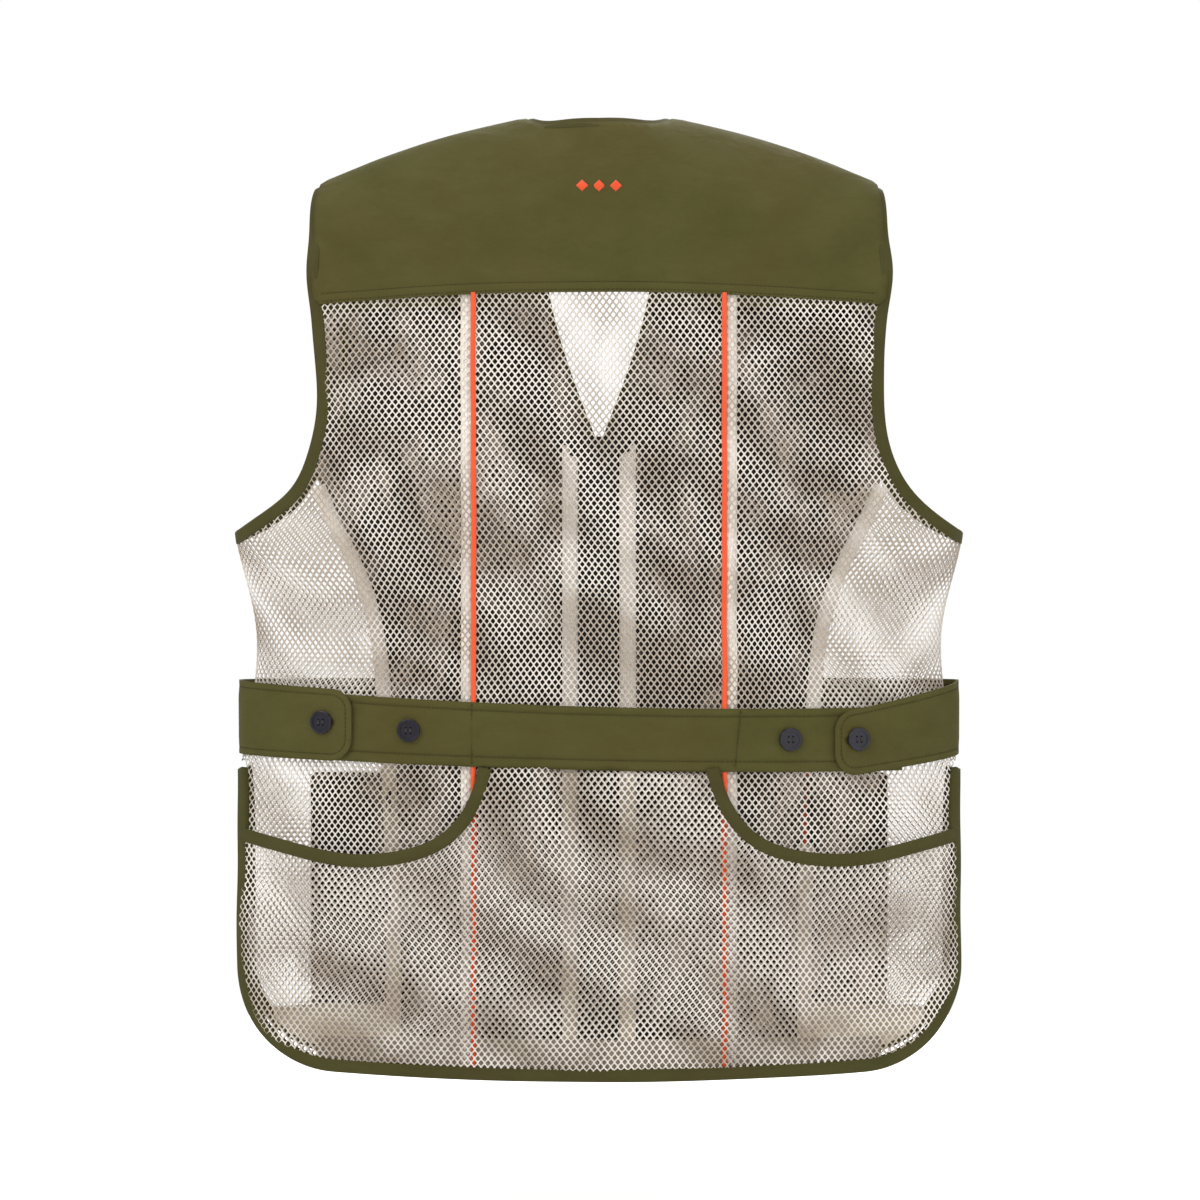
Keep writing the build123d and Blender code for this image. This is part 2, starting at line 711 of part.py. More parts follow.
with BuildPart() as zip_box:
    block(-CHAIN_HALF, CHAIN_HALF, CHAIN_BACK - 0.4, CHAIN_FRONT + 0.4, ZIP_BOTTOM, CHAIN_BOTTOM - 0.2)
    fillet(zip_box.edges().filter_by(Axis.Y), 0.8)
save(zip_box, "zip_box")

SLIDER_Z = CHAIN_TOP - SLIDER_CLEAR - SLIDER_LENGTH / 2
PLATE_FRONT = CHAIN_FRONT + SLIDER_CLEAR
PLATE_BACK = CHAIN_BACK - SLIDER_CLEAR
FLANGE_X = CHAIN_HALF + 1.0
PIN_Y = PLATE_FRONT + SLIDER_PLATE + 2.4
PIN_Z = SLIDER_Z + 3.0

with BuildPart() as zip_slider:
    for low in (PLATE_FRONT, PLATE_BACK - SLIDER_PLATE):
        with BuildSketch(front_plane(low)):
            with Locations((0, SLIDER_Z)):
                RectangleRounded(2 * SLIDER_HALF, SLIDER_LENGTH, 3.0)
        extrude(amount=SLIDER_PLATE)
    block(-0.4, 0.4, PLATE_BACK, PLATE_FRONT, SLIDER_Z - 3, SLIDER_Z + 5)
    for side in (-1, 1):
        near, far = sorted((side * FLANGE_X, side * SLIDER_HALF))
        block(near, far, ZIP_Y + 0.9, PLATE_FRONT, SLIDER_Z - 4, SLIDER_Z + 4)
        block(near, far, PLATE_BACK, ZIP_Y - 0.9, SLIDER_Z - 4, SLIDER_Z + 4)
        near, far = sorted((side * 2.1, side * 3.3))
        block(near, far, PLATE_FRONT + SLIDER_PLATE, PIN_Y + 1.6, PIN_Z - 2, PIN_Z + 2)
    with Locations(Location((0, PIN_Y, PIN_Z), (0, 90, 0))):
        Cylinder(PIN_RADIUS, 5.4)
save(zip_slider, "zip_slider")

with BuildPart() as zip_pull:
    with Locations(Location((0, PIN_Y, PIN_Z), (0, 90, 0))):
        Cylinder(PULL_THICKNESS / 2 + 1.0, 3.4)
    with BuildSketch(front_plane(PIN_Y - PULL_THICKNESS / 2)):
        with Locations((0, PIN_Z - 5)):
            Rectangle(3.4, 10)
        with Locations((0, PIN_Z - PULL_LENGTH / 2 - 3)):
            RectangleRounded(2 * PULL_HALF, PULL_LENGTH - 6, 2.8)
        with Locations((0, PIN_Z - PULL_LENGTH + 8)):
            SlotOverall(9, 2.6, rotation=90, mode=Mode.SUBTRACT)
    extrude(amount=PULL_THICKNESS)
    with Locations(Location((0, PIN_Y, PIN_Z), (0, 90, 0))):
        Cylinder(PIN_RADIUS + 0.35, 12, mode=Mode.SUBTRACT)
save(zip_pull, "zip_pull")

with BuildPart() as zip_facing:
    strip = box_zone(TAPE_HALF, TAPE_HALF + FACING_WIDTH, HEM_SIDE_Z + BINDING_WIDTH, ZIP_TOP)
    add(clip(front_wall(-EDGE - LAYER_GAP - 1.0, -EDGE - LAYER_GAP), region(strip, outside=(NECK_FRONT_WIDE,))))
save_pair(zip_facing, "zip_facing")

GUARD_BACK = GUARD_Y - CLOTH / 2
GUARD_FRONT = GUARD_Y + CLOTH / 2
with BuildPart() as zip_guard:
    block(-GUARD_LEFT, GUARD_RIGHT, GUARD_BACK, GUARD_FRONT, TAPE_BOTTOM, ZIP_TOP)
    head_low, head_high = ZIP_TOP - GUARD_HEAD_LOW, ZIP_TOP + GUARD_HEAD_HIGH
    block(-GUARD_HEAD_HALF, GUARD_HEAD_HALF, GUARD_BACK, GUARD_FRONT, head_low, head_high)
save(zip_guard, "zip_guard")


# ---- Shell pockets on the front skirt ----------------------------------------------------------------

def pocket_zone(inset, top=POCKET_TOP_Z):
    """The right pocket's outline with its round lower corners, inset on three sides."""
    with BuildSketch(Plane.XZ) as zone:
        with BuildLine():
            Polyline(
                (POCKET_NEAR_X + inset, top),
                (POCKET_FAR_X - inset, top),
                (POCKET_FAR_X - inset, POCKET_BOTTOM_Z + inset),
                (POCKET_NEAR_X + inset, POCKET_BOTTOM_Z + inset),
                close=True,
            )
        make_face()
        lower = zone.vertices().group_by(Axis.Y)[0]
        fillet(lower, POCKET_CORNER - inset)
    return zone.sketch_local


with BuildPart() as shell_pocket:
    gusset = region(pocket_zone(0), outside=(pocket_zone(GUSSET, POCKET_TOP_Z + 1),))
    add(clip(front_wall(BELT_INNER, POCKET_DEPTH), gusset))
    add(clip(front_wall(POCKET_DEPTH - CLOTH, POCKET_DEPTH), pocket_zone(0, POCKET_TOP_Z - BINDING_WIDTH)))
save_pair(shell_pocket, "shell_pocket")

with BuildPart() as pocket_binding:
    mouth = box_zone(POCKET_NEAR_X + GUSSET, POCKET_FAR_X - GUSSET, POCKET_TOP_Z - BINDING_WIDTH, POCKET_TOP_Z)
    add(clip(front_wall(POCKET_DEPTH - 1.8, POCKET_DEPTH + 0.8), mouth))
save_pair(pocket_binding, "pocket_binding")


# ---- Shoulder patches over recoil pads ----------------------------------------------------------------

def patch_zone(inset):
    """The right shoulder patch's outline, clear of the armhole's binding, with a round inner corner."""
    with BuildSketch(Plane.XZ) as zone:
        with BuildLine():
            Polyline(
                (PATCH_NEAR_X + inset, 60),
                (PATCH_FAR_X - inset, 60),
                (PATCH_FAR_X - inset, PATCH_BOTTOM_Z + inset),
                (PATCH_NEAR_X + inset, PATCH_BOTTOM_Z + inset),
                close=True,
            )
        make_face()
        corner = zone.vertices().group_by(Axis.Y)[0].sort_by(Axis.X)[0]
        fillet(corner, PATCH_CORNER - inset)
        add(armhole(ARMHOLE_FRONT, BINDING_WIDTH + 2 + inset), mode=Mode.SUBTRACT)
    return zone.sketch_local


def patch_layer(inner, outer, inset):
    """One layer of the shoulder patch, from the shoulder seam down over the chest."""
    zone = patch_zone(inset)
    upper = clip(shoulder_wall(inner, outer), region(zone, outside=(BELOW_YOKE,)))
    with BuildPart() as layer:
        add(slab(upper, SEAM_FORWARD + 2 + inset, REACH))
        add(clip(front_wall(inner, outer), region(zone, inside=(BELOW_YOKE,))))
    return layer.part


with BuildPart() as shoulder_patch:
    add(patch_layer(PATCH_LIFT, PATCH_LIFT + CLOTH, 0))
save_pair(shoulder_patch, "shoulder_patch")

with BuildPart() as recoil_pad:
    add(patch_layer(BELT_INNER, PATCH_LIFT - LAYER_GAP, PAD_INSET))
save_pair(recoil_pad, "recoil_pad")


# ---- Rings in webbing loops, below the shoulder patches -------------------------------------------------

ring_plane = skin_plane(RING_X, RING_Z, half_width(RING_Z), HALF_DEPTH, 1).offset(BELT_INNER + LOOP_RADIUS)
bar_plane = Plane(origin=ring_plane.origin, x_dir=ring_plane.z_dir, z_dir=ring_plane.x_dir)

with BuildPart() as ring_loop:
    with BuildSketch(bar_plane):
        Circle(LOOP_RADIUS)
        with Locations((-LOOP_RADIUS + TAIL_THICKNESS / 2, -LOOP_TAIL / 2)):
            Rectangle(TAIL_THICKNESS, LOOP_TAIL)
        Circle(LOOP_BORE, mode=Mode.SUBTRACT)
    extrude(amount=LOOP_HALF, both=True)
save_pair(ring_loop, "ring_loop")


def ring_outline(inset):
    """A D shape hanging from its straight bar, which is centred on the ring's axis."""
    half = RING_HALF - inset
    with BuildSketch() as shape:
        with BuildLine():
            top = RING_WIRE / 2 - inset
            turn = RING_HALF - RING_DROP
            bar = Line((-half, top), (half, top))
            right = Line(bar @ 1, (half, turn))
            bow = RadiusArc(right @ 1, (-half, turn), half)
            Line(bow @ 1, bar @ 0)
        make_face()
    return shape.sketch_local


with BuildPart() as d_ring:
    with BuildSketch(ring_plane):
        add(ring_outline(0))
        add(ring_outline(RING_WIRE), mode=Mode.SUBTRACT)
    extrude(amount=RING_WIRE / 2, both=True)
    fillet(d_ring.edges(), 0.7)
save_pair(d_ring, "d_ring")


# ---- Inside the back neck, and the yoke's embroidery --------------------------------------------------------

with BuildPart() as hang_loop:
    with BuildSketch(Plane.XZ.offset(HANG_LOOP_Y)):
        with Locations((0, HANG_LOOP_TOP)):
            Ellipse(HANG_LOOP_HALF, HANG_LOOP_DROP)
            Ellipse(HANG_LOOP_HALF - HANG_LOOP_WIDTH, HANG_LOOP_DROP - HANG_LOOP_WIDTH, mode=Mode.SUBTRACT)
        with Locations((0, HANG_LOOP_TOP + HANG_LOOP_DROP / 2)):
            Rectangle(2 * HANG_LOOP_HALF, HANG_LOOP_DROP, mode=Mode.SUBTRACT)
    extrude(amount=CLOTH)
save(hang_loop, "hang_loop")

with BuildPart() as size_label:
    patch = box_zone(-LABEL_HALF, LABEL_HALF, LABEL_BOTTOM, LABEL_TOP)
    add(slab(clip(shoulder_wall(-EDGE - LAYER_GAP - 0.8, -EDGE - LAYER_GAP), patch), -REACH, 0))
save(size_label, "size_label")

with BuildSketch(Plane.XZ) as diamonds:
    with Locations((0, MOTIF_Z)):
        with GridLocations(MOTIF_STEP, 0, MOTIF_COUNT, 1):
            RegularPolygon(MOTIF_RADIUS, 4, rotation=45)
with BuildPart() as yoke_embroidery:
    thread = shoulder_wall(EDGE + 0.1, EDGE + 0.8)
    add(slab(clip(thread, diamonds.sketch_local), -REACH, 0))
save(yoke_embroidery, "yoke_embroidery")
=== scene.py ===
import math

import bpy
import numpy as np
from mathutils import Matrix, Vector
from mathutils.geometry import delaunay_2d_cdt


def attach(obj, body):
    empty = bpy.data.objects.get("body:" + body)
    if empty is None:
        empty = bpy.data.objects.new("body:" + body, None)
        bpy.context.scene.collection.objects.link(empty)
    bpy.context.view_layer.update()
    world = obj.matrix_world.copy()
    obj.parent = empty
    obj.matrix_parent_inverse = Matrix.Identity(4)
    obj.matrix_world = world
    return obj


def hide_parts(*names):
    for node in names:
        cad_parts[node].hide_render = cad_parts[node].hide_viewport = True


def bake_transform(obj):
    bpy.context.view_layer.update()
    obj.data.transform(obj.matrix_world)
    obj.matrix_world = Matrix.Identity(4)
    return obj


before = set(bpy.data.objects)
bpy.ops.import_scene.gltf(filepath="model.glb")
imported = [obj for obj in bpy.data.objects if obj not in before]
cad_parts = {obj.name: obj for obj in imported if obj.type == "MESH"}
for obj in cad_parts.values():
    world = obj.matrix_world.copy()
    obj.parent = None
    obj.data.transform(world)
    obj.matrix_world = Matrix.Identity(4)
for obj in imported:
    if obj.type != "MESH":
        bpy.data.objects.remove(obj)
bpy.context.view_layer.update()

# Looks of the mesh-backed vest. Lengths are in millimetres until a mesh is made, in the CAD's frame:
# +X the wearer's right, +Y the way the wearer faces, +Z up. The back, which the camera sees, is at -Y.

MM = 0.001
RNG = np.random.default_rng(7)
SIDES = (("left", -1), ("right", 1))

# ---- The garment's form, as the CAD has it ------------------------------------------------------

WIDTH_STATIONS = [(-290.0, 290.0), (-400.0, 271.0), (-560.0, 291.0)]
CHEST = 290.0
DEEP = 70.0
NECK_HALF, NECK_Z, NECK_RISE = 63.0, 15.0, 25.0
SHOULDER_SPAN, SHOULDER_DROP, SHOULDER_BOW = 157.0, 50.0, 5.0
FOLD = 80.0
FOLD_ARC = FOLD * math.pi / 2
SEAM_FORWARD = 22.0
ARMHOLE_BACK = [(221, -24), (228, -100), (221, -205), (241, -275), (300, -317)]
ARMHOLE_FRONT = [(221, -24), (229, -100), (224, -205), (243, -274), (300, -315)]
NECK_BACK = [(-2, 10), (26, 10.4), (45, 11.8), (62, 24)]
NECK_FRONT = [(3, -232), (38, -128), (50, -62), (61, 0), (62.6, 24)]
YOKE_EDGE = [(-260, -137), (0, -126), (260, -137)]
SKIRT_X, VENT_TOP, HEM_CORNER, HEM_SIDE, HEM_CENTER = 282.5, -497.0, 80.0, -731.0, -736.0
BINDING = 10.0
PIPING_X = 97.0
SEAM_LOW = -727.0        # where the upright seams and the front panels end, inside the hem tape
ARM_FOOT = -262.0        # where the front's curved seam meets the armhole
FRONT_SEAM = [(230, -262), (214, -300), (192, -345), (178, -395), (173, -440), (167, -560), (165, -745)]
BELT_TOP = [(-245, -434), (0, -446.5), (245, -447)]
BELT_BOTTOM = [(-245, -487), (0, -495.5), (245, -497)]
BELT_HALF = 236.0
BELT_OFF, BELT_THICK = 2.5, 1.9
POUCH_TOP, POUCH_STAND, POUCH_FULL, POUCH_SWELL, POUCH_SIDE = -480.0, 2.8, 13.0, 1.2, 1.5
POUCH_MOUTH = [(91, -488), (99, -516), (122, -545), (160, -559), (202, -560), (245, -551), (290, -541)]
STRAP_X, TAB_DEEP, ANCHOR_DEEP = 284.4, 78.0, 72.2
STRAP_TOP, STRAP_BOTTOM, ANCHOR_END = -427.0, -485.0, 178.0
TABS = {
    "left": {"side": -1, "end": 192.0, "top": -433.0, "bottom": -489.0, "button": (214.0, -459.0)},
    "right": {"side": 1, "end": 183.0, "top": -449.0, "bottom": -500.0, "button": (200.0, -472.0)},
}
SPARES = {"left": (147.0, -465.0), "right": (148.0, -472.0)}


def unit(v):
    """Vectors brought to length one."""
    return v / (np.linalg.norm(v, axis=-1, keepdims=True) + 1e-12)


def run_along(path):
    """The distance along a path at each of its points."""
    return np.concatenate(([0], np.cumsum(np.linalg.norm(np.diff(path, axis=0), axis=1))))


ANGLES = np.linspace(0, math.pi / 2, 600)
ARCS = run_along(np.stack([CHEST * np.sin(ANGLES), DEEP * np.cos(ANGLES)], 1))
QUARTER = ARCS[-1]


def ease(t):
    t = np.clip(t, 0, 1)
    return t * t * (3 - 2 * t)


def half_width(z):
    """Half width of the body tube at height z."""
    z = np.asarray(z, float)
    wide = np.full_like(z, CHEST)
    for (high, a), (low, b) in zip(WIDTH_STATIONS, WIDTH_STATIONS[1:]):
        wide = wide + (b - a) * (1 - np.cos(math.pi * np.clip((high - z) / (high - low), 0, 1))) / 2
    return wide


def shoulder_line(x):
    """Height of the fold over the shoulders at x."""
    away = np.abs(np.asarray(x, float))
    along = np.clip((away - NECK_HALF) / SHOULDER_SPAN, 0, None)
    rise = NECK_RISE * np.cos(math.pi * np.minimum(away, NECK_HALF) / (2 * NECK_HALF)) ** 2
    return NECK_Z + rise - SHOULDER_DROP * along + SHOULDER_BOW * np.sin(math.pi * np.minimum(along, 1))


def girth(x, z):
    """Distance round the tube from its middle line, for the cloth's own sideways coordinate."""
    turn = np.arcsin(np.clip(np.abs(x) / half_width(z), 0, 1))
    return np.sign(x) * np.interp(turn, ANGLES, ARCS)


def turn_of(u):
    return np.sign(u) * np.interp(np.abs(u), ARCS, ANGLES)


def across(u, z):
    """The x of a point at girth u."""
    return half_width(z) * np.sin(turn_of(u))


def tube(side):
    """The body below the yoke; side is -1 at the back. Its coordinates are girth and height."""
    def surface(u, z):
        turn = turn_of(u)
        return np.stack([half_width(z) * np.sin(turn), side * DEEP * np.cos(turn), z + 0 * u], -1)
    return surface


def bulge(z):
    share = (POUCH_TOP - z) / (POUCH_TOP - HEM_CENTER)
    return POUCH_STAND + POUCH_FULL * np.sin(math.pi * np.clip(share, 0, 1)) ** POUCH_SWELL


def pouch(u, z):
    """The game pouch's wall, with soft folds of its own that fade at its edges."""
    turn = turn_of(u)
    x = half_width(z) * np.sin(turn)
    share = np.clip((POUCH_TOP - 12 - z) / (POUCH_TOP - HEM_CENTER - 20), 0, 1)
    folds = (np.sin(x / 21 + z / 34 + 1.2 * np.sin(z / 47)) * 1.5
             + np.sin(x / 33 - z / 25 + 2.0 * np.sin(x / 90)) * 1.5
             + np.sin(x / 13 - z / 55 + 1.0) * 0.6)
    deep = DEEP + bulge(z) + folds * np.sin(math.pi * share) ** 0.8 * ease((282 - np.abs(x)) / 40)
    wide = half_width(z) + POUCH_SIDE
    return np.stack([wide * np.sin(turn), -deep * np.cos(turn), z + 0 * u], -1)


def fold(x, b):
    """Over the shoulders: b is the distance from the ridge, positive towards the back."""
    deep = DEEP * np.sqrt(np.clip(1 - (x / CHEST) ** 2, 0.0001, 1))
    alpha = np.clip(np.abs(b) / FOLD_ARC, 0, 1) * math.pi / 2
    z = shoulder_line(x) - FOLD + FOLD * np.cos(alpha) - np.clip(np.abs(b) - FOLD_ARC, 0, None)
    return np.stack([x + 0 * b, -np.sign(b) * deep * np.sin(alpha), z], -1)


def ridge_distance(x, z, side):
    """The fold's b for a point at x and z."""
    low = shoulder_line(x) - FOLD
    alpha = np.arccos(np.clip((z - low) / FOLD, 0, 1))
    return -side * np.where(z > low, alpha / (math.pi / 2) * FOLD_ARC, FOLD_ARC + low - z)


def drape(p):
    """How far the cloth stands off the plain form: soft diagonal folds, all layers alike."""
    x, y, z = p[..., 0], p[..., 1], p[..., 2]
    behind, ahead = ease(-y / 45), ease(y / 45)
    below = ease((-120 - z) / 45)
    waist = 1 - 0.95 * np.exp(-((z + 466) / 38) ** 4)
    hem = 1 - 0.7 * ease((-690 - z) / 45)
    sway = 26 * np.sin(z / 61 + 0.4) + 18 * np.sin(x / 77 + 1.3)
    body = (1.9 * np.sin((0.80 * x + 0.62 * z + sway) / 17.0)
            * (0.55 + 0.45 * np.sin(x / 71 - z / 58))
            + 1.6 * np.sin((0.86 * x - 0.55 * z - sway) / 22.0 + 1.0)
            * (0.55 + 0.45 * np.sin(x / 88 + z / 49 + 2.0))
            + 0.9 * np.sin((0.3 * x + z) / 13.0 + 1.5 * np.sin(x / 40)))
    yoke = (0.7 * np.sin(x / 26 + z / 18 + 0.8 * np.sin(x / 60))
            + 1.1 * np.sin((np.abs(x) * 0.8 - z) / 11) * ease((np.abs(x) - 120) / 80))
    yoke *= 1.6 * ease((20 - z) / 30)
    share = 1.4 * behind + 0.5 * ahead * ease((np.abs(x) - 16) / 50)
    return share * (below * waist * hem * body + (1 - below) * yoke)


def lay(surface, a, b, off=0.0):
    """Points and outward normals on a surface, draped and moved out by off."""
    a, b = np.broadcast_arrays(np.asarray(a, float), np.asarray(b, float))
    p = surface(a, b)
    n = np.cross(surface(a + 0.5, b) - surface(a - 0.5, b), surface(a, b + 0.5) - surface(a, b - 0.5))
    n = unit(n)
    core = np.stack([0.9 * p[..., 0], 0 * p[..., 1], np.minimum(p[..., 2], -120)], -1)
    n *= np.sign(np.sum(n * (p - core), -1, keepdims=True))
    return p + n * (np.asarray(off + drape(p))[..., None]), n


# ---- Curves and outlines ------------------------------------------------------------------------

def spline(points, count=40):
    """A natural cubic spline through points, sampled evenly."""
    pts = np.array(points, float)
    t = run_along(pts)
    size, h = len(t), np.diff(t)
    grid, right = np.eye(size), np.zeros((size, pts.shape[1]))
    for i in range(1, size - 1):
        grid[i, i - 1:i + 2] = h[i - 1], 2 * (h[i - 1] + h[i]), h[i]
        right[i] = 6 * ((pts[i + 1] - pts[i]) / h[i] - (pts[i] - pts[i - 1]) / h[i - 1])
    m = np.linalg.solve(grid, right)
    s = np.linspace(0, t[-1], count)
    k = np.clip(np.searchsorted(t, s) - 1, 0, size - 2)
    lo, hi, w = (t[k + 1] - s)[:, None], (s - t[k])[:, None], h[k][:, None]
    return ((m[k] * lo ** 3 + m[k + 1] * hi ** 3) / (6 * w)
            + (pts[k] / w - m[k] * w / 6) * lo + (pts[k + 1] / w - m[k + 1] * w / 6) * hi)


def moved(line, grow):
    """A line moved sideways by grow, to its right-hand side."""
    along = unit(np.gradient(line, axis=0))
    return line + np.stack([along[:, 1], -along[:, 0]], 1) * grow


def on_side(line, sign):
    """A right-hand outline as it is, or its mirror image for the left."""
    return np.array(line, float) * [sign, 1]


def closed(loop):
    """A closed outline with its first point again at its end."""
    return np.concatenate([loop, loop[:1]])


def corner_arc(x, z, radius, start, end, count):
    """Points round a corner's middle, between two angles in degrees."""
    turn = np.radians(np.linspace(start, end, count))
    return np.stack([x + radius * np.cos(turn), z + radius * np.sin(turn)], 1)


def arc_z(points, x):
    """Height at x of the arc through three points, taken as a parabola."""
    (x0, z0), (x1, z1), (x2, z2) = points
    return np.polyval(np.polyfit([x0, x1, x2], [z0, z1, z2], 2), x)


def dense(line, step):
    """A line with points added so that no stretch is longer than step."""
    line = np.array(line, float)
    out = [line[:1]]
    for a, b in zip(line, line[1:]):
        count = max(1, int(math.ceil(np.linalg.norm(b - a) / step)))
        out.append(a + (b - a) * (np.arange(1, count + 1) / count)[:, None])
    return np.concatenate(out)


def inside(loop, pts):
    """Which points lie inside a closed outline."""
    x, y = pts[:, 0], pts[:, 1]
    hit = np.zeros(len(pts), bool)
    for (x0, y0), (x1, y1) in zip(loop, np.roll(loop, -1, axis=0)):
        if y0 != y1:
            hit ^= ((y0 > y) != (y1 > y)) & (x < (x1 - x0) * (y - y0) / (y1 - y0) + x0)
    return hit


def distance(line, pts):
    """Distance of each point from a line."""
    best = np.full(len(pts), 1e9)
    for a, b in zip(line, line[1:]):
        d = b - a
        t = np.clip((pts - a) @ d / max(d @ d, 1e-9), 0, 1)
        best = np.minimum(best, np.linalg.norm(pts - a - t[:, None] * d, axis=1))
    return best


def hem_z(x):
    """Height of the hem's long shallow curve."""
    return HEM_CENTER + (HEM_SIDE - HEM_CENTER) * (x / (SKIRT_X - HEM_CORNER)) ** 2


def yoke_z(x):
    """Height of the yokes' lower edge."""
    return arc_z(YOKE_EDGE, x)


def skirt_edge(grow=0.0, count=24):
    """The right-hand side, round corner and hem of the skirt, as x and z, down to the middle."""
    corner = corner_arc(SKIRT_X - HEM_CORNER, HEM_SIDE + HEM_CORNER, HEM_CORNER - grow, 0, -90, count)
    xs = np.linspace(corner[-1, 0], 0, 30)[1:]
    return np.concatenate([[(SKIRT_X - grow, VENT_TOP)], corner, np.stack([xs, hem_z(xs) + grow], 1)])


# ---- Mesh makers --------------------------------------------------------------------------------

def make(name, verts, faces, mat):
    """A smooth-shaded mesh object from points in millimetres."""
    mesh = bpy.data.meshes.new(name)
    verts = np.asarray(verts, float) * MM
    mesh.from_pydata(verts.tolist(), [], faces if isinstance(faces, list) else faces.tolist())
    mesh.materials.append(mat)
    mesh.polygons.foreach_set("use_smooth", np.full(len(mesh.polygons), True))
    mesh.update()
    obj = bpy.data.objects.new(name, mesh)
    bpy.context.scene.collection.objects.link(obj)
    return obj


def settle(obj, slot, *nodes, rides=True):
    """Hides the CAD nodes a piece stands for and rides it on the garment; slot is not used."""
    if rides:
        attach(obj, "garment")
    if nodes:
        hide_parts(*nodes)
    return obj


def rim(faces):
    """The directed edges that only one face has."""
    faces = np.asarray(faces)
    edges = np.concatenate([np.stack([faces[:, i], np.roll(faces, -1, axis=1)[:, i]], 1)
                            for i in range(faces.shape[1])])
    key = np.sort(edges, axis=1)
    key = key[:, 0] * (key.max() + 1) + key[:, 1]
    _, where, count = np.unique(key, return_inverse=True, return_counts=True)
    return edges[count[where.ravel()] == 1]


CUTS = {}
NET_SHARE = 0.52         # cloth left between a net's holes
RAIL_GAP = 1.1           # from a crease to the rails beside it


def note_cut(name, outline, share=1.0):
    """Keeps a cloth's flat width, length and area, in metres, in CUTS."""
    x, y = outline[:, 0], outline[:, 1]
    area = abs(np.sum(x * np.roll(y, -1) - y * np.roll(x, -1))) / 2
    CUTS[name] = (float(np.ptp(x)) * MM, float(np.ptp(y)) * MM, float(area) * MM * MM * share)


def grid_inside(outline, spacing, holes, creases):
    """Inner points of a panel: a staggered grid, and three rails along each crease."""
    low, high = outline.min(0), outline.max(0)
    nx, ny = (int((high[i] - low[i]) / spacing) + 1 for i in (0, 1))
    gx, gy = np.meshgrid(np.arange(nx), np.arange(ny))
    grid = np.stack([low[0] + (gx + 0.5 * (gy % 2)) * spacing, low[1] + gy * spacing], -1).reshape(-1, 2)
    grid = grid[inside(outline, grid)]
    grid = grid[distance(closed(outline), grid) > 0.55 * spacing]
    for hole in holes:
        grid = grid[~inside(hole, grid)]
        grid = grid[distance(closed(hole), grid) > 0.4 * spacing]
    rails = []
    for crease in creases:
        crease = dense(crease, spacing)
        rails += [moved(crease, shift) for shift in (-RAIL_GAP, 0, RAIL_GAP)]
        grid = grid[distance(crease, grid) > RAIL_GAP + 0.4 * spacing]
    if rails:
        rails = np.concatenate(rails)
        rails = rails[inside(outline, rails)]
        grid = np.concatenate([grid, rails[distance(closed(outline), rails) > 0.6]])
    return grid


def panel(name, outline, surface, thick, spacing, mat, off=0.0, relief=None, holes=(), creases=(), groove=0.5):
    """A closed cloth panel: an outline in a surface's own coordinates, with sewn lines pressed in."""
    outline = np.asarray(outline, float)
    note_cut(name, outline)
    grid = grid_inside(outline, spacing, holes, creases)
    pts, edges = [outline], [(i, (i + 1) % len(outline)) for i in range(len(outline))]
    start = len(outline)
    for hole in holes:
        pts.append(hole)
        edges += [(start + i, start + (i + 1) % len(hole)) for i in range(len(hole))]
        start += len(hole)
    pts = np.concatenate(pts + [grid])
    out, _, tris, _, _, _ = delaunay_2d_cdt([Vector(p) for p in pts], edges, [], 0, 1e-3)
    out = np.array([tuple(v) for v in out])
    tris = np.array([t for t in tris if len(t) == 3])
    middle = out[tris].mean(1)
    keep = inside(outline, middle)
    for hole in holes:
        keep &= ~inside(hole, middle)
    tris = tris[keep]
    a, b = out[:, 0], out[:, 1]
    middle_off = np.full(len(out), off) + (relief(a, b) if relief else 0.0)
    high_off, low_off = middle_off + thick / 2, middle_off - thick / 2
    for crease in creases:
        high_off -= groove * np.exp(-(distance(np.asarray(crease, float), out) / 0.9) ** 2)
    top, n = lay(surface, a, b, high_off)
    bottom, _ = lay(surface, a, b, low_off)
    size = len(out)
    p, q, r = top[tris[0]]
    if np.cross(q - p, r - p) @ n[tris[0][0]] < 0:
        tris = tris[:, ::-1]
    edge = rim(tris)
    wall = np.stack([edge[:, 1], edge[:, 0], edge[:, 0] + size, edge[:, 1] + size], 1)
    faces = tris.tolist() + (tris[:, ::-1] + size).tolist() + wall.tolist()
    return make(name, np.concatenate([top, bottom]), faces, mat)


HOLE_STEP, ROW_STEP = 5.2, 3.4
HOLE_HALF, HOLE_TALL, HOLE_WAIST = 1.62, 2.24, 0.58
CELL_TOP = 2.694


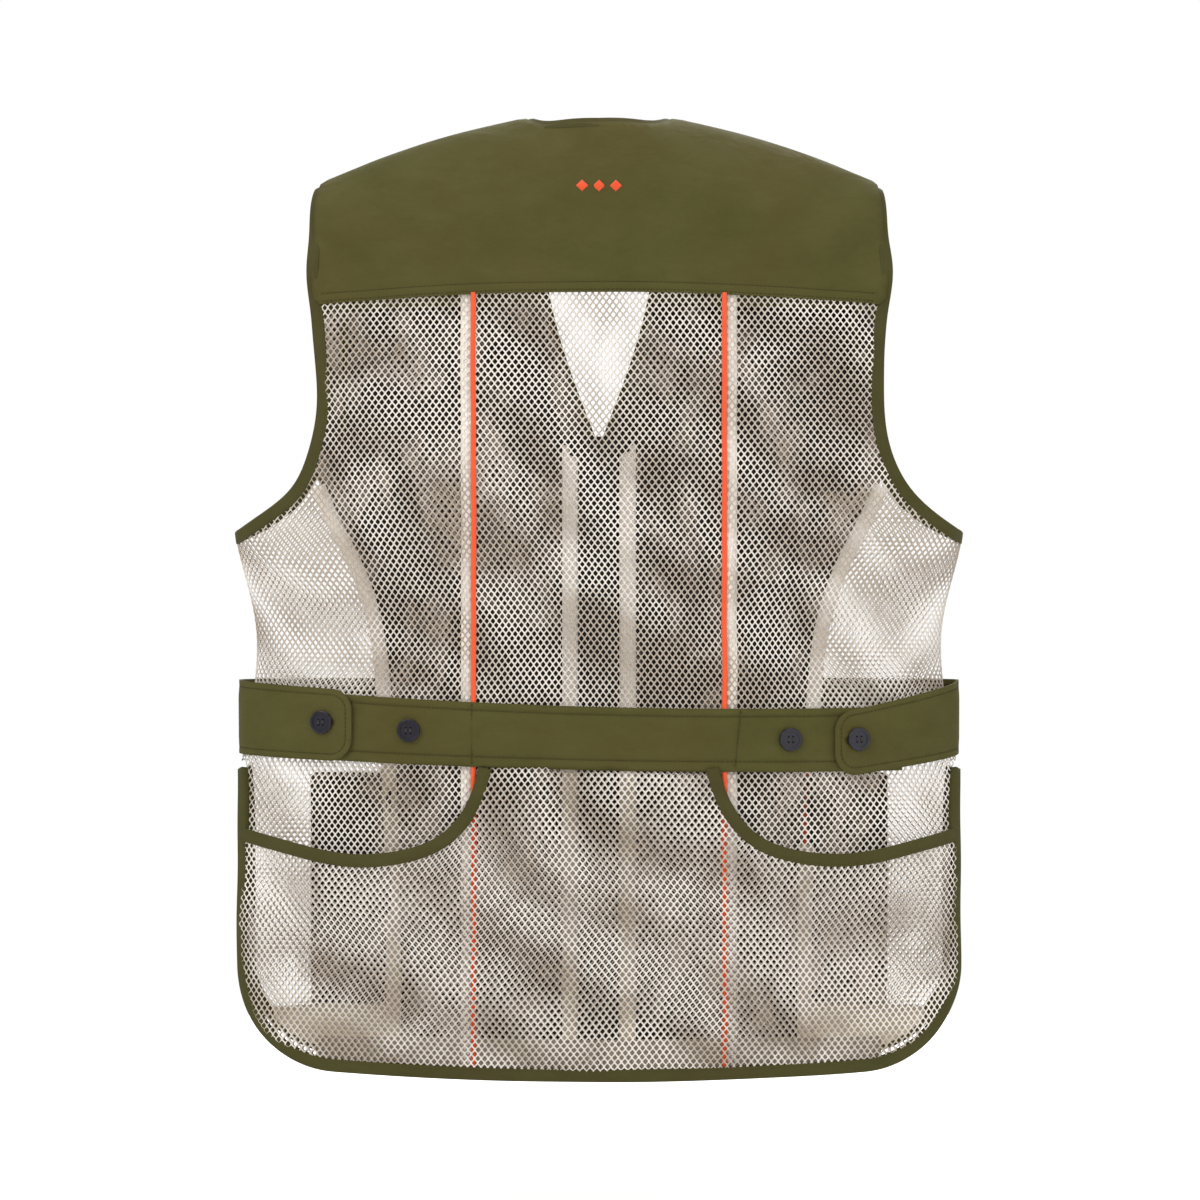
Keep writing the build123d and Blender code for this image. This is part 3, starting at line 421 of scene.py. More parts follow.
def net(name, loop, surface, mat, off=0.0, half_thick=0.42, tilt=0.0):
    """Knitted mesh with its real holes: loop is an outline in x and z, the surface takes girth and z."""
    loop = np.asarray(loop, float)
    us = girth(loop[:, 0], loop[:, 1])
    note_cut(name, np.stack([us, loop[:, 1]], 1), NET_SHARE)
    lean = abs(tilt) * np.abs(loop[:, 1]).max()
    u0, z1 = us.min() - 10 - lean, loop[:, 1].max() + 6
    nc = int((us.max() + 10 + lean - u0) / (HOLE_STEP / 2)) + 2
    nj = int((z1 - loop[:, 1].min() + 6) / ROW_STEP) + 2
    u0 = math.floor(u0 / HOLE_STEP) * HOLE_STEP
    z1 = math.floor(z1 / (2 * ROW_STEP)) * 2 * ROW_STEP
    c, j = np.meshgrid(np.arange(nc), np.arange(nj), indexing="ij")
    uc, zc = u0 + c * HOLE_STEP / 2, z1 - j * ROW_STEP
    wave = lambda u, z: (u + tilt * z + 1.1 * np.sin(z / 37 + u / 90), z + 0.9 * np.sin(u / 41 + z / 110))
    valid = (c + j) % 2 == 0
    um, zm = wave(uc, zc)
    mid = np.stack([across(um, zm), zm], -1).reshape(-1, 2)
    keep = inside(loop, mid).reshape(uc.shape) & valid & (np.abs(um) < QUARTER + 2)
    keep[0], keep[-1], keep[:, 0], keep[:, -1] = False, False, False, False
    ci, ji = np.nonzero(keep)
    size = nc * nj
    code = lambda cc, jj: cc * nj + jj
    # A cell's corners: its own top and bottom, and its neighbours' bottoms and tops at its waist.
    corners = np.stack([code(ci, ji), size + code(ci + 1, ji - 1), code(ci + 1, ji + 1),
                        size + code(ci, ji), code(ci - 1, ji + 1), size + code(ci - 1, ji - 1)], 1)
    used, corners = np.unique(corners, return_inverse=True)
    corners = corners.reshape(-1, 6)
    is_low = used >= size
    cc, jj = (used % size) // nj, (used % size) % nj
    cu = u0 + cc * HOLE_STEP / 2
    cz = z1 - jj * ROW_STEP + np.where(is_low, -CELL_TOP, CELL_TOP)
    count, cells = len(used), len(ci)
    shape = np.array([(0, HOLE_TALL), (HOLE_HALF, HOLE_WAIST), (HOLE_HALF, -HOLE_WAIST),
                      (0, -HOLE_TALL), (-HOLE_HALF, -HOLE_WAIST), (-HOLE_HALF, HOLE_WAIST)])
    grow = 1 + RNG.uniform(-0.06, 0.06, (cells, 1))
    hu = (uc[ci, ji][:, None] + shape[:, 0] * grow).ravel()
    hz = (zc[ci, ji][:, None] + shape[:, 1] * grow).ravel()
    cu, cz = wave(cu, cz)
    hu, hz = wave(hu, hz)
    top, _ = lay(surface, cu, cz, off + half_thick)
    low, _ = lay(surface, cu, cz, off - half_thick)
    ring, _ = lay(surface, hu, hz, off)
    verts = np.concatenate([top, low, ring])
    inner = (2 * count + np.arange(cells * 6)).reshape(-1, 6)
    after, inner_after = np.roll(corners, -1, axis=1), np.roll(inner, -1, axis=1)
    front = np.stack([corners, inner, inner_after, after], -1).reshape(-1, 4)
    back = np.stack([after + count, inner_after, inner, corners + count], -1).reshape(-1, 4)
    edge = rim(corners)
    wall = np.stack([edge[:, 0], edge[:, 1], edge[:, 1] + count, edge[:, 0] + count], 1)
    faces = np.concatenate([front, back, wall])
    p = verts[faces[0]]
    if np.cross(p[1] - p[0], p[2] - p[0])[1] * verts[faces[0][0]][1] < 0:
        faces = faces[:, ::-1]
    return make(name, verts, faces, mat)


def loft_faces(count, size, ring=False):
    """Faces that join count outlines of size points, with end caps unless they make a ring."""
    a = np.arange(count if ring else count - 1)[:, None] * size
    b = (a + size) % (count * size)
    k = np.arange(size)[None]
    faces = np.stack([a + k, a + (k + 1) % size, b + (k + 1) % size, b + k], -1).reshape(-1, 4).tolist()
    if not ring:
        faces += [list(range(size))[::-1], list(range((count - 1) * size, count * size))]
    return faces


def sweep(name, path, inward, normal, section, mat, ring=False):
    """A solid strip along a path: section is a closed outline of (inward, outward) distances."""
    section = np.asarray(section, float)
    rings = path[:, None] + inward[:, None] * section[None, :, :1] + normal[:, None] * section[None, :, 1:]
    return make(name, rings.reshape(-1, 3), loft_faces(len(path), len(section), ring), mat)


def sideways(path, normal, ring=False):
    """Unit directions across a path, on its surface."""
    along = np.gradient(path, axis=0)
    if ring:
        along = np.roll(path, -1, axis=0) - np.roll(path, 1, axis=0)
    return unit(np.cross(normal, unit(along)))


def tape_section(width, half, lip=0.35):
    """A folded tape's outline: flat faces, a rolled fold over the edge and a turned-in raw edge."""
    up = [(width, half * 0.55), (width - 0.5, half * 0.95), (width - 1.6, half), (width * 0.5, half * 1.04),
          (1.6, half * 1.02), (0.4, half * 0.8), (-lip * 0.6, half * 0.4)]
    return up + [(-lip, 0.0)] + [(d, -h) for d, h in reversed(up)]


STITCH, STITCH_GAP, THREAD_RADIUS = 2.5, 0.9, 0.28
STITCH_RINGS = ((0.0, 0.35, -0.25), (0.2, 1.0, 0.0), (0.8, 1.0, 0.0), (1.0, 0.35, -0.25))   # share, size, sink


def stitches(name, paths, mat):
    """Thread: short tapered dashes along each path, which is a pair of points and normals."""
    points, quads, offset = [], [], 0
    for path, normal in paths:
        run = run_along(path)
        starts = np.arange(0.5, run[-1] - STITCH, STITCH + STITCH_GAP)
        if not len(starts):
            continue

        def at(values, share, run=run, starts=starts):
            return np.stack([np.interp(starts + share * STITCH, run, values[:, i]) for i in range(3)], 1)

        along = unit(at(path, 1.0) - at(path, 0.0))
        rings = []
        for share, tip, sink in STITCH_RINGS:
            p, n = at(path, share), unit(at(normal, share))
            side = np.cross(n, along)
            rings.append(np.stack([p + n * (THREAD_RADIUS * dn * tip + sink) + side * (THREAD_RADIUS * ds * tip)
                                   for dn, ds in ((1, 0), (0.2, 1), (-0.7, 0), (0.2, -1))], 1))
        points.append(np.stack(rings, 1).reshape(-1, 3))
        base = offset + np.arange(len(starts))[:, None] * 16
        quads += [base + face for face in loft_faces(4, 4)]
        offset += len(starts) * 16
    return make(name, np.concatenate(points), np.concatenate(quads)[:, ::-1], mat)


# ---- Materials ----------------------------------------------------------------------------------

class Shade:
    """A material's nodes, added and joined in short calls."""

    def __init__(self, name, colour, rough, **sockets):
        self.mat = bpy.data.materials.new(name)
        self.mat.use_nodes = True
        self.tree = self.mat.node_tree
        self.bsdf = self.tree.nodes["Principled BSDF"]
        self.bsdf.inputs["Base Color"].default_value = (*colour, 1)
        self.bsdf.inputs["Roughness"].default_value = rough
        for socket, value in sockets.items():
            self.bsdf.inputs[socket.replace("_", " ")].default_value = value
        self.place = self.node("ShaderNodeTexCoord").outputs["Object"]
        self.normal = None

    def node(self, kind, inputs=None, **props):
        made = self.tree.nodes.new(kind)
        for key, value in props.items():
            setattr(made, key, value)
        for key, value in (inputs or {}).items():
            if isinstance(value, bpy.types.NodeSocket):
                self.tree.links.new(value, made.inputs[key])
            else:
                made.inputs[key].default_value = value
        return made

    def noise(self, scale, detail=2.0, rough=0.5, stretch=(1, 1, 1), warp=0.0):
        place = self.node("ShaderNodeMapping", {"Vector": self.place, "Scale": stretch}).outputs[0]
        inputs = {"Vector": place, "Scale": scale, "Detail": detail, "Roughness": rough, "Distortion": warp}
        return self.node("ShaderNodeTexNoise", inputs).outputs["Fac"]

    def bands(self, scale, turn=(0, 0, 0), warp=0.0):
        place = self.node("ShaderNodeMapping", {"Vector": self.place, "Rotation": turn}).outputs[0]
        inputs = {"Vector": place, "Scale": scale, "Distortion": warp, "Detail": 1.0}
        return self.node("ShaderNodeTexWave", inputs, bands_direction="Z").outputs["Fac"]

    def math(self, kind, a, b=0.0, clamp=False):
        return self.node("ShaderNodeMath", {0: a, 1: b}, operation=kind, use_clamp=clamp).outputs[0]

    def range(self, value, low, high, to_low=0.0, to_high=1.0):
        inputs = {"Value": value, "From Min": low, "From Max": high, "To Min": to_low, "To Max": to_high}
        return self.node("ShaderNodeMapRange", inputs).outputs[0]

    def mix(self, fac, a, b):
        """A colour between two: each a colour, a socket, or the one made last."""
        mixer = self.node("ShaderNodeMix", data_type="RGBA")
        for socket, value in ((mixer.inputs[0], fac), (mixer.inputs[6], a), (mixer.inputs[7], b)):
            if isinstance(value, bpy.types.NodeSocket):
                self.tree.links.new(value, socket)
            elif isinstance(value, tuple):
                socket.default_value = (*value, 1)
            else:
                socket.default_value = value
        return mixer.outputs[2]

    def colour(self, socket):
        self.tree.links.new(socket, self.bsdf.inputs["Base Color"])

    def rough(self, socket):
        self.tree.links.new(socket, self.bsdf.inputs["Roughness"])

    def bump(self, height, distance, strength=1.0):
        inputs = {"Height": height, "Distance": distance, "Strength": strength}
        if self.normal is not None:
            inputs["Normal"] = self.normal
        self.normal = self.node("ShaderNodeBump", inputs).outputs[0]
        self.tree.links.new(self.normal, self.bsdf.inputs["Normal"])


def twill(name, colour, warm, rough=0.85, weave=260.0, crumple=0.005):
    """Cotton twill: fine diagonal ribs, slubs, soft crumples and faded, browner patches."""
    s = Shade(name, colour, rough, Sheen_Weight=0.06, Sheen_Roughness=0.5, Specular_IOR_Level=0.15)
    s.bsdf.inputs["Sheen Tint"].default_value = (*warm, 1)
    rib = s.bands(weave, (0, math.radians(52), 0), 0.6)
    cross = s.bands(weave * 1.9, (0, math.radians(-8), 0), 0.4)
    patch = s.range(s.noise(9.0, 3.0, 0.55), 0.38, 0.68)
    fade = s.range(s.noise(26.0, 4.0, 0.6, (1, 1, 1.6)), 0.35, 0.7)
    fibre = s.noise(2200.0, 2.0, 0.6, (1, 1, 0.35))
    base = s.mix(patch, colour, warm)
    light = tuple(min(1, c * 1.22) for c in colour)
    base = s.mix(s.math("MULTIPLY", fade, 0.7), base, light)
    dark = tuple(c * 0.55 for c in colour)
    base = s.mix(s.math("MULTIPLY", s.range(rib, 0.75, 0.0), 0.30), base, dark)
    base = s.mix(s.range(fibre, 0.45, 0.75, 0, 0.25), base, tuple(min(1, c * 1.5) for c in colour))
    s.colour(base)
    s.rough(s.range(fade, 0, 1, rough + 0.04, rough - 0.08))
    s.bump(s.noise(34.0, 3.0, 0.55, (1, 1, 1.5), 0.5), crumple, 0.55)
    s.bump(s.noise(150.0, 2.0, 0.5), 0.0004, 0.35)
    s.bump(s.math("ADD", rib, s.math("MULTIPLY", cross, 0.4)), 0.00016, 0.45)
    return s.mat


def knit(name, colour, shadow, behind=None, rough=0.8):
    """Polyester net: twisted filaments along each strand, darkened with painted fold shade in broad soft
    patches and diagonal streaks.
    """
    s = Shade(name, colour, rough, Sheen_Weight=0.2, Sheen_Roughness=0.4, Specular_IOR_Level=0.35)
    cloud = s.noise(13.0, 3.0, 0.55, (1, 1, 0.8), 0.6)
    streak = s.bands(4.3, (0, math.radians(-35), 0), 11.0)
    fold_shade = s.math("ADD", s.math("MULTIPLY", cloud, 0.84), s.math("MULTIPLY", streak, 0.16))
    fold_shade = s.range(fold_shade, 0.40, 0.62)
    fine = s.noise(700.0, 3.0, 0.6)
    # Painted shade of the net's folds: the broad patches and streaks darken it towards the shadow colour.
    base = s.mix(s.math("MULTIPLY", fold_shade, 0.9), colour, shadow)
    base = s.mix(s.range(fine, 0.35, 0.6, 0.35, 0), base, tuple(c * 0.62 for c in colour))
    if behind:
        # Painted shade: the net is darker where it lies behind the pouch, below its mouths and between them in
        # the middle.
        x, _, z = s.node("ShaderNodeSeparateXYZ", {"Vector": s.place}).outputs
        below_mouths = s.range(z, -0.560, -0.575)
        between = s.math("MULTIPLY", s.range(z, -0.500, -0.512), s.range(s.math("ABSOLUTE", x), 0.100, 0.088))
        base = s.mix(s.math("MULTIPLY", s.math("MAXIMUM", below_mouths, between), 0.65), base, behind)
    s.colour(base)
    s.rough(s.range(fine, 0.3, 0.7, rough - 0.1, rough + 0.1))
    s.bump(s.bands(520.0, (0, math.radians(35), 0), 3.0), 0.00012, 0.5)
    s.bump(fine, 0.0002, 0.4)
    return s.mat


def lining(name):
    """The front's inner face seen through the back: near-black painted shade on the dark inside, behind a
    second layer of net painted in shaded, darkened tones.
    """
    s = Shade(name, (0.03, 0.025, 0.02), 0.9, Specular_IOR_Level=0.1)
    strand_a = s.bands(62.0, (0, math.radians(52.6), 0), 0.9)
    strand_b = s.bands(62.0, (0, math.radians(-52.6), 0), 0.9)
    strand = s.math("MAXIMUM", strand_a, strand_b)
    cloudy = s.noise(15.0, 2.0, 0.5, (1, 1, 0.75), 1.2)
    streak = s.noise(30.0, 2.0, 0.5, (1.5, 1, 0.5), 1.0)
    near = s.math("ADD", s.math("MULTIPLY", cloudy, 0.7), s.math("MULTIPLY", streak, 0.3))
    near = s.range(near, 0.49, 0.62)
    # The second net's strands are darkened tones of the net, a painted shade; where they don't show, the
    # near-black painted shade does.
    thread = s.mix(s.noise(90.0), (0.20, 0.16, 0.12), (0.38, 0.32, 0.26))
    shown = s.math("MULTIPLY", s.range(strand, 0.35, 0.8), near, True)
    s.colour(s.mix(shown, (0.018, 0.015, 0.012), thread))
    s.bump(strand, 0.0006, 0.6)
    return s.mat


def cord_cloth(name, colour):
    """Bias-cut piping: close slanting ribs with a light edge to each."""
    s = Shade(name, colour, 0.7, Sheen_Weight=0.3, Specular_IOR_Level=0.3)
    rib = s.bands(330.0, (0, math.radians(38), 0), 0.8)
    fade = s.noise(60.0, 3.0, 0.6)
    base = s.mix(s.range(rib, 0.6, 0.0, 0, 0.45), colour, tuple(c * 0.6 for c in colour))
    s.colour(s.mix(s.range(fade, 0.45, 0.7, 0, 0.25), base, tuple(min(1, c * 1.3 + 0.03) for c in colour)))
    s.rough(s.range(fade, 0.3, 0.7, 0.62, 0.82))
    s.bump(rib, 0.00025, 0.6)
    s.bump(s.noise(900.0), 0.0002, 0.3)
    return s.mat


def polished(name, colour, rough=0.16):
    """Moulded button plastic: deep gloss with faint handling marks."""
    s = Shade(name, colour, rough, Coat_Weight=0.2, Coat_Roughness=0.05, Specular_IOR_Level=0.2)
    cloud = s.noise(160.0, 3.0)
    s.colour(s.mix(s.range(cloud, 0.4, 0.7), colour, (0.010, 0.007, 0.018)))
    s.rough(s.range(s.noise(700.0, 3.0, 0.7, (1, 1, 5)), 0.4, 0.75, rough, rough + 0.16))
    s.bump(s.noise(420.0, 2.0), 0.00012, 0.2)
    return s.mat


def moulded(name, colour, rough=0.5):
    """Injection-moulded zip plastic: satin with a fine grain."""
    s = Shade(name, colour, rough)
    s.colour(s.mix(s.noise(140.0), tuple(c * 0.8 for c in colour), tuple(c * 1.25 for c in colour)))
    s.rough(s.range(s.noise(900.0), 0.3, 0.7, rough - 0.1, rough + 0.12))
    s.bump(s.noise(1500.0), 0.00006, 0.4)
    return s.mat


def enamelled(name, colour, worn, rough=0.35):
    """Enamelled metal: satin, with brighter rubbed spots and fine scratches."""
    s = Shade(name, colour, rough, Metallic=0.75)
    rub = s.range(s.noise(190.0, 4.0, 0.65), 0.56, 0.66)
    s.colour(s.mix(rub, colour, worn))
    s.rough(s.range(s.noise(800.0, 3.0, 0.6, (1, 1, 6)), 0.35, 0.7, rough - 0.08, rough + 0.14))
    s.bump(s.noise(600.0, 3.0), 0.00005, 0.4)
    return s.mat


OLIVE = (0.054, 0.050, 0.0125)
OLIVE_WARM = (0.064, 0.050, 0.0135)
OLIVE_DARK = (0.043, 0.040, 0.0105)
TWILL = twill("olive_twill", OLIVE, OLIVE_WARM)
BIND = twill("olive_binding", OLIVE_DARK, (0.048, 0.038, 0.011), 0.82, 300.0, 0.0006)
THREAD = twill("olive_thread", (0.034, 0.030, 0.009), (0.040, 0.031, 0.010), 0.7, 900.0, 0.0001)
NET = knit("tan_net", (0.72, 0.665, 0.605), (0.33, 0.265, 0.20))
# The back nets' copy, with painted shade where they lie behind the pouch.
NET_SHADED_BEHIND = knit("tan_net_shaded_behind", (0.72, 0.665, 0.605), (0.33, 0.265, 0.20), behind=(0.20, 0.165, 0.13))
LIGHT_TAPE = twill("light_tape", (0.72, 0.66, 0.59), (0.60, 0.52, 0.44), 0.85, 320.0, 0.0005)
SHADE_LINING = lining("front_shade_lining")
ORANGE = cord_cloth("orange_piping", (0.70, 0.066, 0.006))
BUTTON = polished("black_button", (0.005, 0.0045, 0.008))
BUTTON_THREAD = twill("black_thread", (0.035, 0.032, 0.030), (0.05, 0.045, 0.04), 0.6, 900.0, 0.0001)
ZIP_CLOTH = twill("zip_cloth", (0.012, 0.012, 0.010), (0.018, 0.016, 0.013), 0.85, 420.0, 0.0003)
ZIP_PLASTIC = moulded("zip_plastic", (0.024, 0.023, 0.018))
METAL = enamelled("dark_metal", (0.055, 0.052, 0.048), (0.34, 0.32, 0.29))
LABEL = twill("label_cloth", (0.68, 0.66, 0.60), (0.60, 0.57, 0.50), 0.75, 700.0, 0.0003)
FACING = twill("tan_facing", (0.42, 0.36, 0.27), (0.36, 0.29, 0.20), 0.85, 300.0, 0.0005)


# ---- Back: nets, piping and seam tapes ----------------------------------------------------------

TUCK = 4.0
BACK, FRONT = tube(-1), tube(1)


def below(line, limit):
    """The stretch of a curve under a height that changes with x."""
    return line[line[:, 1] < limit(line[:, 0])]


def back_loop(left_x, right_x, armhole, tuck):
    """Outline of a back panel between two upright seams, or out to the side seam."""
    if armhole:
        arm = below(spline(ARMHOLE_BACK, 60), yoke_z) - [tuck, 0]
        skirt = skirt_edge(tuck)
        skirt = skirt[skirt[:, 0] > left_x]
        z = float(np.interp(left_x, skirt[::-1, 0], skirt[::-1, 1]))
        vent = [(400, -313), (400, VENT_TOP + 8), (SKIRT_X - tuck, VENT_TOP + 8)]
        return np.concatenate([[(left_x, yoke_z(left_x) + 4)], [(arm[0, 0], yoke_z(arm[0, 0]) + 4)],
                               arm, vent, skirt, [(left_x, z)]])
    top = np.linspace(left_x, right_x, 20)
    return np.concatenate([np.stack([top, yoke_z(top) + 4], 1), np.stack([top, hem_z(top) + tuck], 1)[::-1]])


settle(net("back_center_net", back_loop(-PIPING_X, PIPING_X, False, TUCK), BACK, NET_SHADED_BEHIND),
       "tan_mesh", "back_center_mesh")
side_loop = back_loop(PIPING_X, 400, True, TUCK)
for word, sign in SIDES:
    settle(net(f"{word}_back_side_net", on_side(side_loop, sign), BACK, NET_SHADED_BEHIND, tilt=0.02 * sign),
           "tan_mesh", f"{word}_back_side_mesh")

PIPE_TURNS = np.linspace(0, 2 * math.pi, 11)[:-1]
PIPE_SECTION = np.stack([2.0 * np.cos(PIPE_TURNS), 1.0 + 1.5 * np.sin(PIPE_TURNS)], 1)


def pipe(name, path, normal):
    return sweep(name, path, sideways(path, normal), normal, PIPE_SECTION, ORANGE)


def upright(x, off):
    """A straight run down the back at x, from the yoke to the hem."""
    z = np.arange(-126.0, SEAM_LOW, -4.0)
    return lay(BACK, girth(x, z), z, off)


BACK_TAPE_SECTION = [(-4.5, -0.35), (4.5, -0.35), (4.5, 0.2), (0, 0.3), (-4.5, 0.2)]
for word, sign in SIDES:
    settle(pipe(f"{word}_back_cord", *upright(sign * PIPING_X, 0.0)), "orange_cord", f"{word}_back_piping")
    path, normal = upright(sign * (PIPING_X + 5.5), -0.9)
    settle(sweep(f"{word}_seam_tape", path, sideways(path, normal), normal, BACK_TAPE_SECTION, LIGHT_TAPE),
           "tan_mesh")


# ---- Yokes --------------------------------------------------------------------------------------

def fold_line(line, side):
    """A curve in x and z, as the fold's coordinates, without what is above the ridge."""
    line = line[line[:, 1] < shoulder_line(line[:, 0]) - 0.2]
    return np.stack([line[:, 0], ridge_distance(line[:, 0], line[:, 1], side)], 1)


def seam_b(x):
    """The shoulder seam's distance ahead of the ridge, as the fold has it."""
    deep = DEEP * np.sqrt(1 - (x / CHEST) ** 2)
    return -np.arcsin(np.clip(SEAM_FORWARD / deep, 0, 1)) / (math.pi / 2) * FOLD_ARC


def yoke_loop(tuck):
    """The back yoke's outline, over the shoulders to their seams."""
    arm_back = moved(spline(ARMHOLE_BACK, 50), tuck)
    arm_back = arm_back[arm_back[:, 1] > yoke_z(arm_back[:, 0])]
    right = fold_line(arm_back, -1)[::-1]
    arm_front = fold_line(moved(spline(ARMHOLE_FRONT, 50), tuck), 1)
    arm_front = arm_front[arm_front[:, 1] > seam_b(arm_front[:, 0])]
    neck_front = fold_line(moved(spline(NECK_FRONT, 80), tuck), 1)
    neck_front = neck_front[neck_front[:, 1] > seam_b(neck_front[:, 0])]
    arm_x = arm_front[-1, 0] if len(arm_front) else 217
    neck_x = neck_front[0, 0] if len(neck_front) else 72
    xs = np.linspace(arm_x, neck_x, 30)
    seam_line = np.stack([xs, seam_b(xs)], 1)
    neck_back = fold_line(moved(spline(NECK_BACK, 40), tuck), -1)
    neck_back = neck_back[neck_back[:, 0] > 0]
    half = np.concatenate([right, arm_front, seam_line, neck_front, neck_back[::-1]])
    xs = np.linspace(-right[0, 0], right[0, 0], 90)[1:-1]
    low = np.stack([xs, ridge_distance(xs, yoke_z(xs), -1)], 1)
    return np.concatenate([half, on_side(half, -1)[::-1], low])


def yoke_row(up, reach=216):
    xs = np.linspace(-reach, reach, 120)
    return np.stack([xs, ridge_distance(xs, yoke_z(xs) + up, -1)], 1)


YOKE_OFF = 1.3
yoke_rows = [yoke_row(2.0), yoke_row(8.0)]
yoke = panel("back_yoke_cloth", yoke_loop(TUCK), fold, 1.2, 5.0, TWILL, YOKE_OFF, creases=yoke_rows, groove=0.6)
settle(yoke, "olive_twill", "back_yoke")

THREAD_PATHS = []


def sew(surface, line, off):
    """Adds one row of stitches along a line in a surface's coordinates."""
    line = dense(line, 2.0)
    THREAD_PATHS.append(lay(surface, line[:, 0], line[:, 1], off))


for row in yoke_rows:
    sew(fold, row, YOKE_OFF + 0.25)


# ---- Bindings -----------------------------------------------------------------------------------

def skin_line(line, side, sign=1):
    """Points and normals along a curve in x and z, over the fold or down the tube; sign -1 is the left."""
    line = line[line[:, 1] < shoulder_line(line[:, 0]) - 0.2]
    edge = np.abs(line[:, 0]) >= half_width(line[:, 1]) - 0.02
    if edge.any():
        line = line[:np.argmax(edge) + 1]
    high = line[:, 1] > -200
    up, low = line[high], line[~high]
    parts = [lay(fold, sign * up[:, 0], ridge_distance(up[:, 0], up[:, 1], side))] if len(up) else []
    if len(low):
        parts.append(lay(tube(side), sign * girth(low[:, 0], low[:, 1]), low[:, 1]))
    if line[0, 1] < line[-1, 1]:
        parts.reverse()
    return join(*parts)


def join(*parts):
    return tuple(np.concatenate(p) for p in zip(*parts))


def back_to_front(part):
    return tuple(p[::-1] for p in part)


def relaxed(path, ring=False, rounds=2):
    """A path or its normals with small kinks smoothed away."""
    for _ in range(rounds):
        after, before = np.roll(path, -1, axis=0), np.roll(path, 1, axis=0)
        if not ring:
            after[-1], before[0] = path[-1], path[0]
        path = (after + 2 * path + before) / 4
    return path


def bind(name, part, toward, node, half=1.4, off=0.0, ring=False):
    """A tape folded over an edge, with its row of stitches on each face."""
    path, normal = relaxed(part[0], ring), unit(relaxed(part[1], ring, 4))
    path = path + normal * off
    side = sideways(path, normal, ring)
    middle = len(path) // 2
    if side[middle] @ (np.asarray(toward(path[middle])) - path[middle]) < 0:
        side = -side
    for face in (1, -1):
        row = path + side * (BINDING - 2.2) + normal * face * (half - 0.1)
        THREAD_PATHS.append((row, normal * face))
    obj = sweep(name, path, side, normal, tape_section(BINDING, half), BIND, ring)
    return settle(obj, "olive_binding", node)


def neck_half(sign):
    return join(skin_line(spline(NECK_FRONT, 120), 1, sign),
                back_to_front(skin_line(spline(NECK_BACK, 60)[2:], -1, sign)))


bind("neck_tape", join(neck_half(1), back_to_front(neck_half(-1))), lambda p: p + [0, 0, -50.0], "neck_binding")
for word, sign in SIDES:
    loop = join(skin_line(spline(ARMHOLE_BACK, 110), -1, sign),
                back_to_front(skin_line(spline(ARMHOLE_FRONT, 110), 1, sign)))
    bind(f"{word}_armhole_tape", loop, lambda p: p * [0, 0, 1] + [0, 0, -100.0], f"{word}_armhole_binding",
         ring=True)

rim_right = dense(skirt_edge(), 4.0)
rim_back = join(skin_line(rim_right, -1), back_to_front(skin_line(rim_right, -1, -1)))
bind("back_hem_tape", rim_back, lambda p: p + [0, 0, 60.0], "back_hem_binding", half=2.7, off=1.6)
for word, sign in SIDES:
    part = skin_line(rim_right[rim_right[:, 0] > 3], 1, sign)
    bind(f"{word}_front_hem_tape", part, lambda p: p * [0.5, 1, 1] + [0, 0, 20.0], f"{word}_front_hem_binding")


# ---- Front: panels, side nets, piping -----------------------------------------------------------

def to_tube(line, spacing=4.0):
    """A line in x and z, as girth and height."""
    line = dense(line, spacing)
    return np.stack([girth(line[:, 0], line[:, 1]), line[:, 1]], 1)


seam = spline(FRONT_SEAM, 90)
arm_front = spline(ARMHOLE_FRONT, 90)
neck_edge = moved(spline(NECK_FRONT, 90), TUCK)


def front_loop():
    """The right front's twill panel, from the zip to the curved seam."""
    neck = neck_edge[(neck_edge[:, 1] > -230) & (neck_edge[:, 1] < yoke_z(neck_edge[:, 0]) + 4)]
    arm = moved(arm_front, TUCK)
    arm = arm[(arm[:, 1] < yoke_z(arm[:, 0]) + 4) & (arm[:, 1] > ARM_FOOT)]
    line = seam[seam[:, 1] > SEAM_LOW] - [1.0, 0]
    return np.concatenate([[(16, SEAM_LOW), (16, -236)], neck, arm, line, [(line[-1, 0], SEAM_LOW)]])


def front_side_loop():
    """The right front's net, from the curved seam to the side."""
    arm = moved(arm_front, TUCK)
    arm = arm[arm[:, 1] < ARM_FOOT]
    skirt = skirt_edge(TUCK)
    skirt = skirt[skirt[:, 0] > 166]
    return np.concatenate([arm, [(400, -318), (400, VENT_TOP + 8), (SKIRT_X - TUCK, VENT_TOP + 8)],
                           skirt, seam[seam[:, 1] > SEAM_LOW][::-1] + [1.0, 0]])


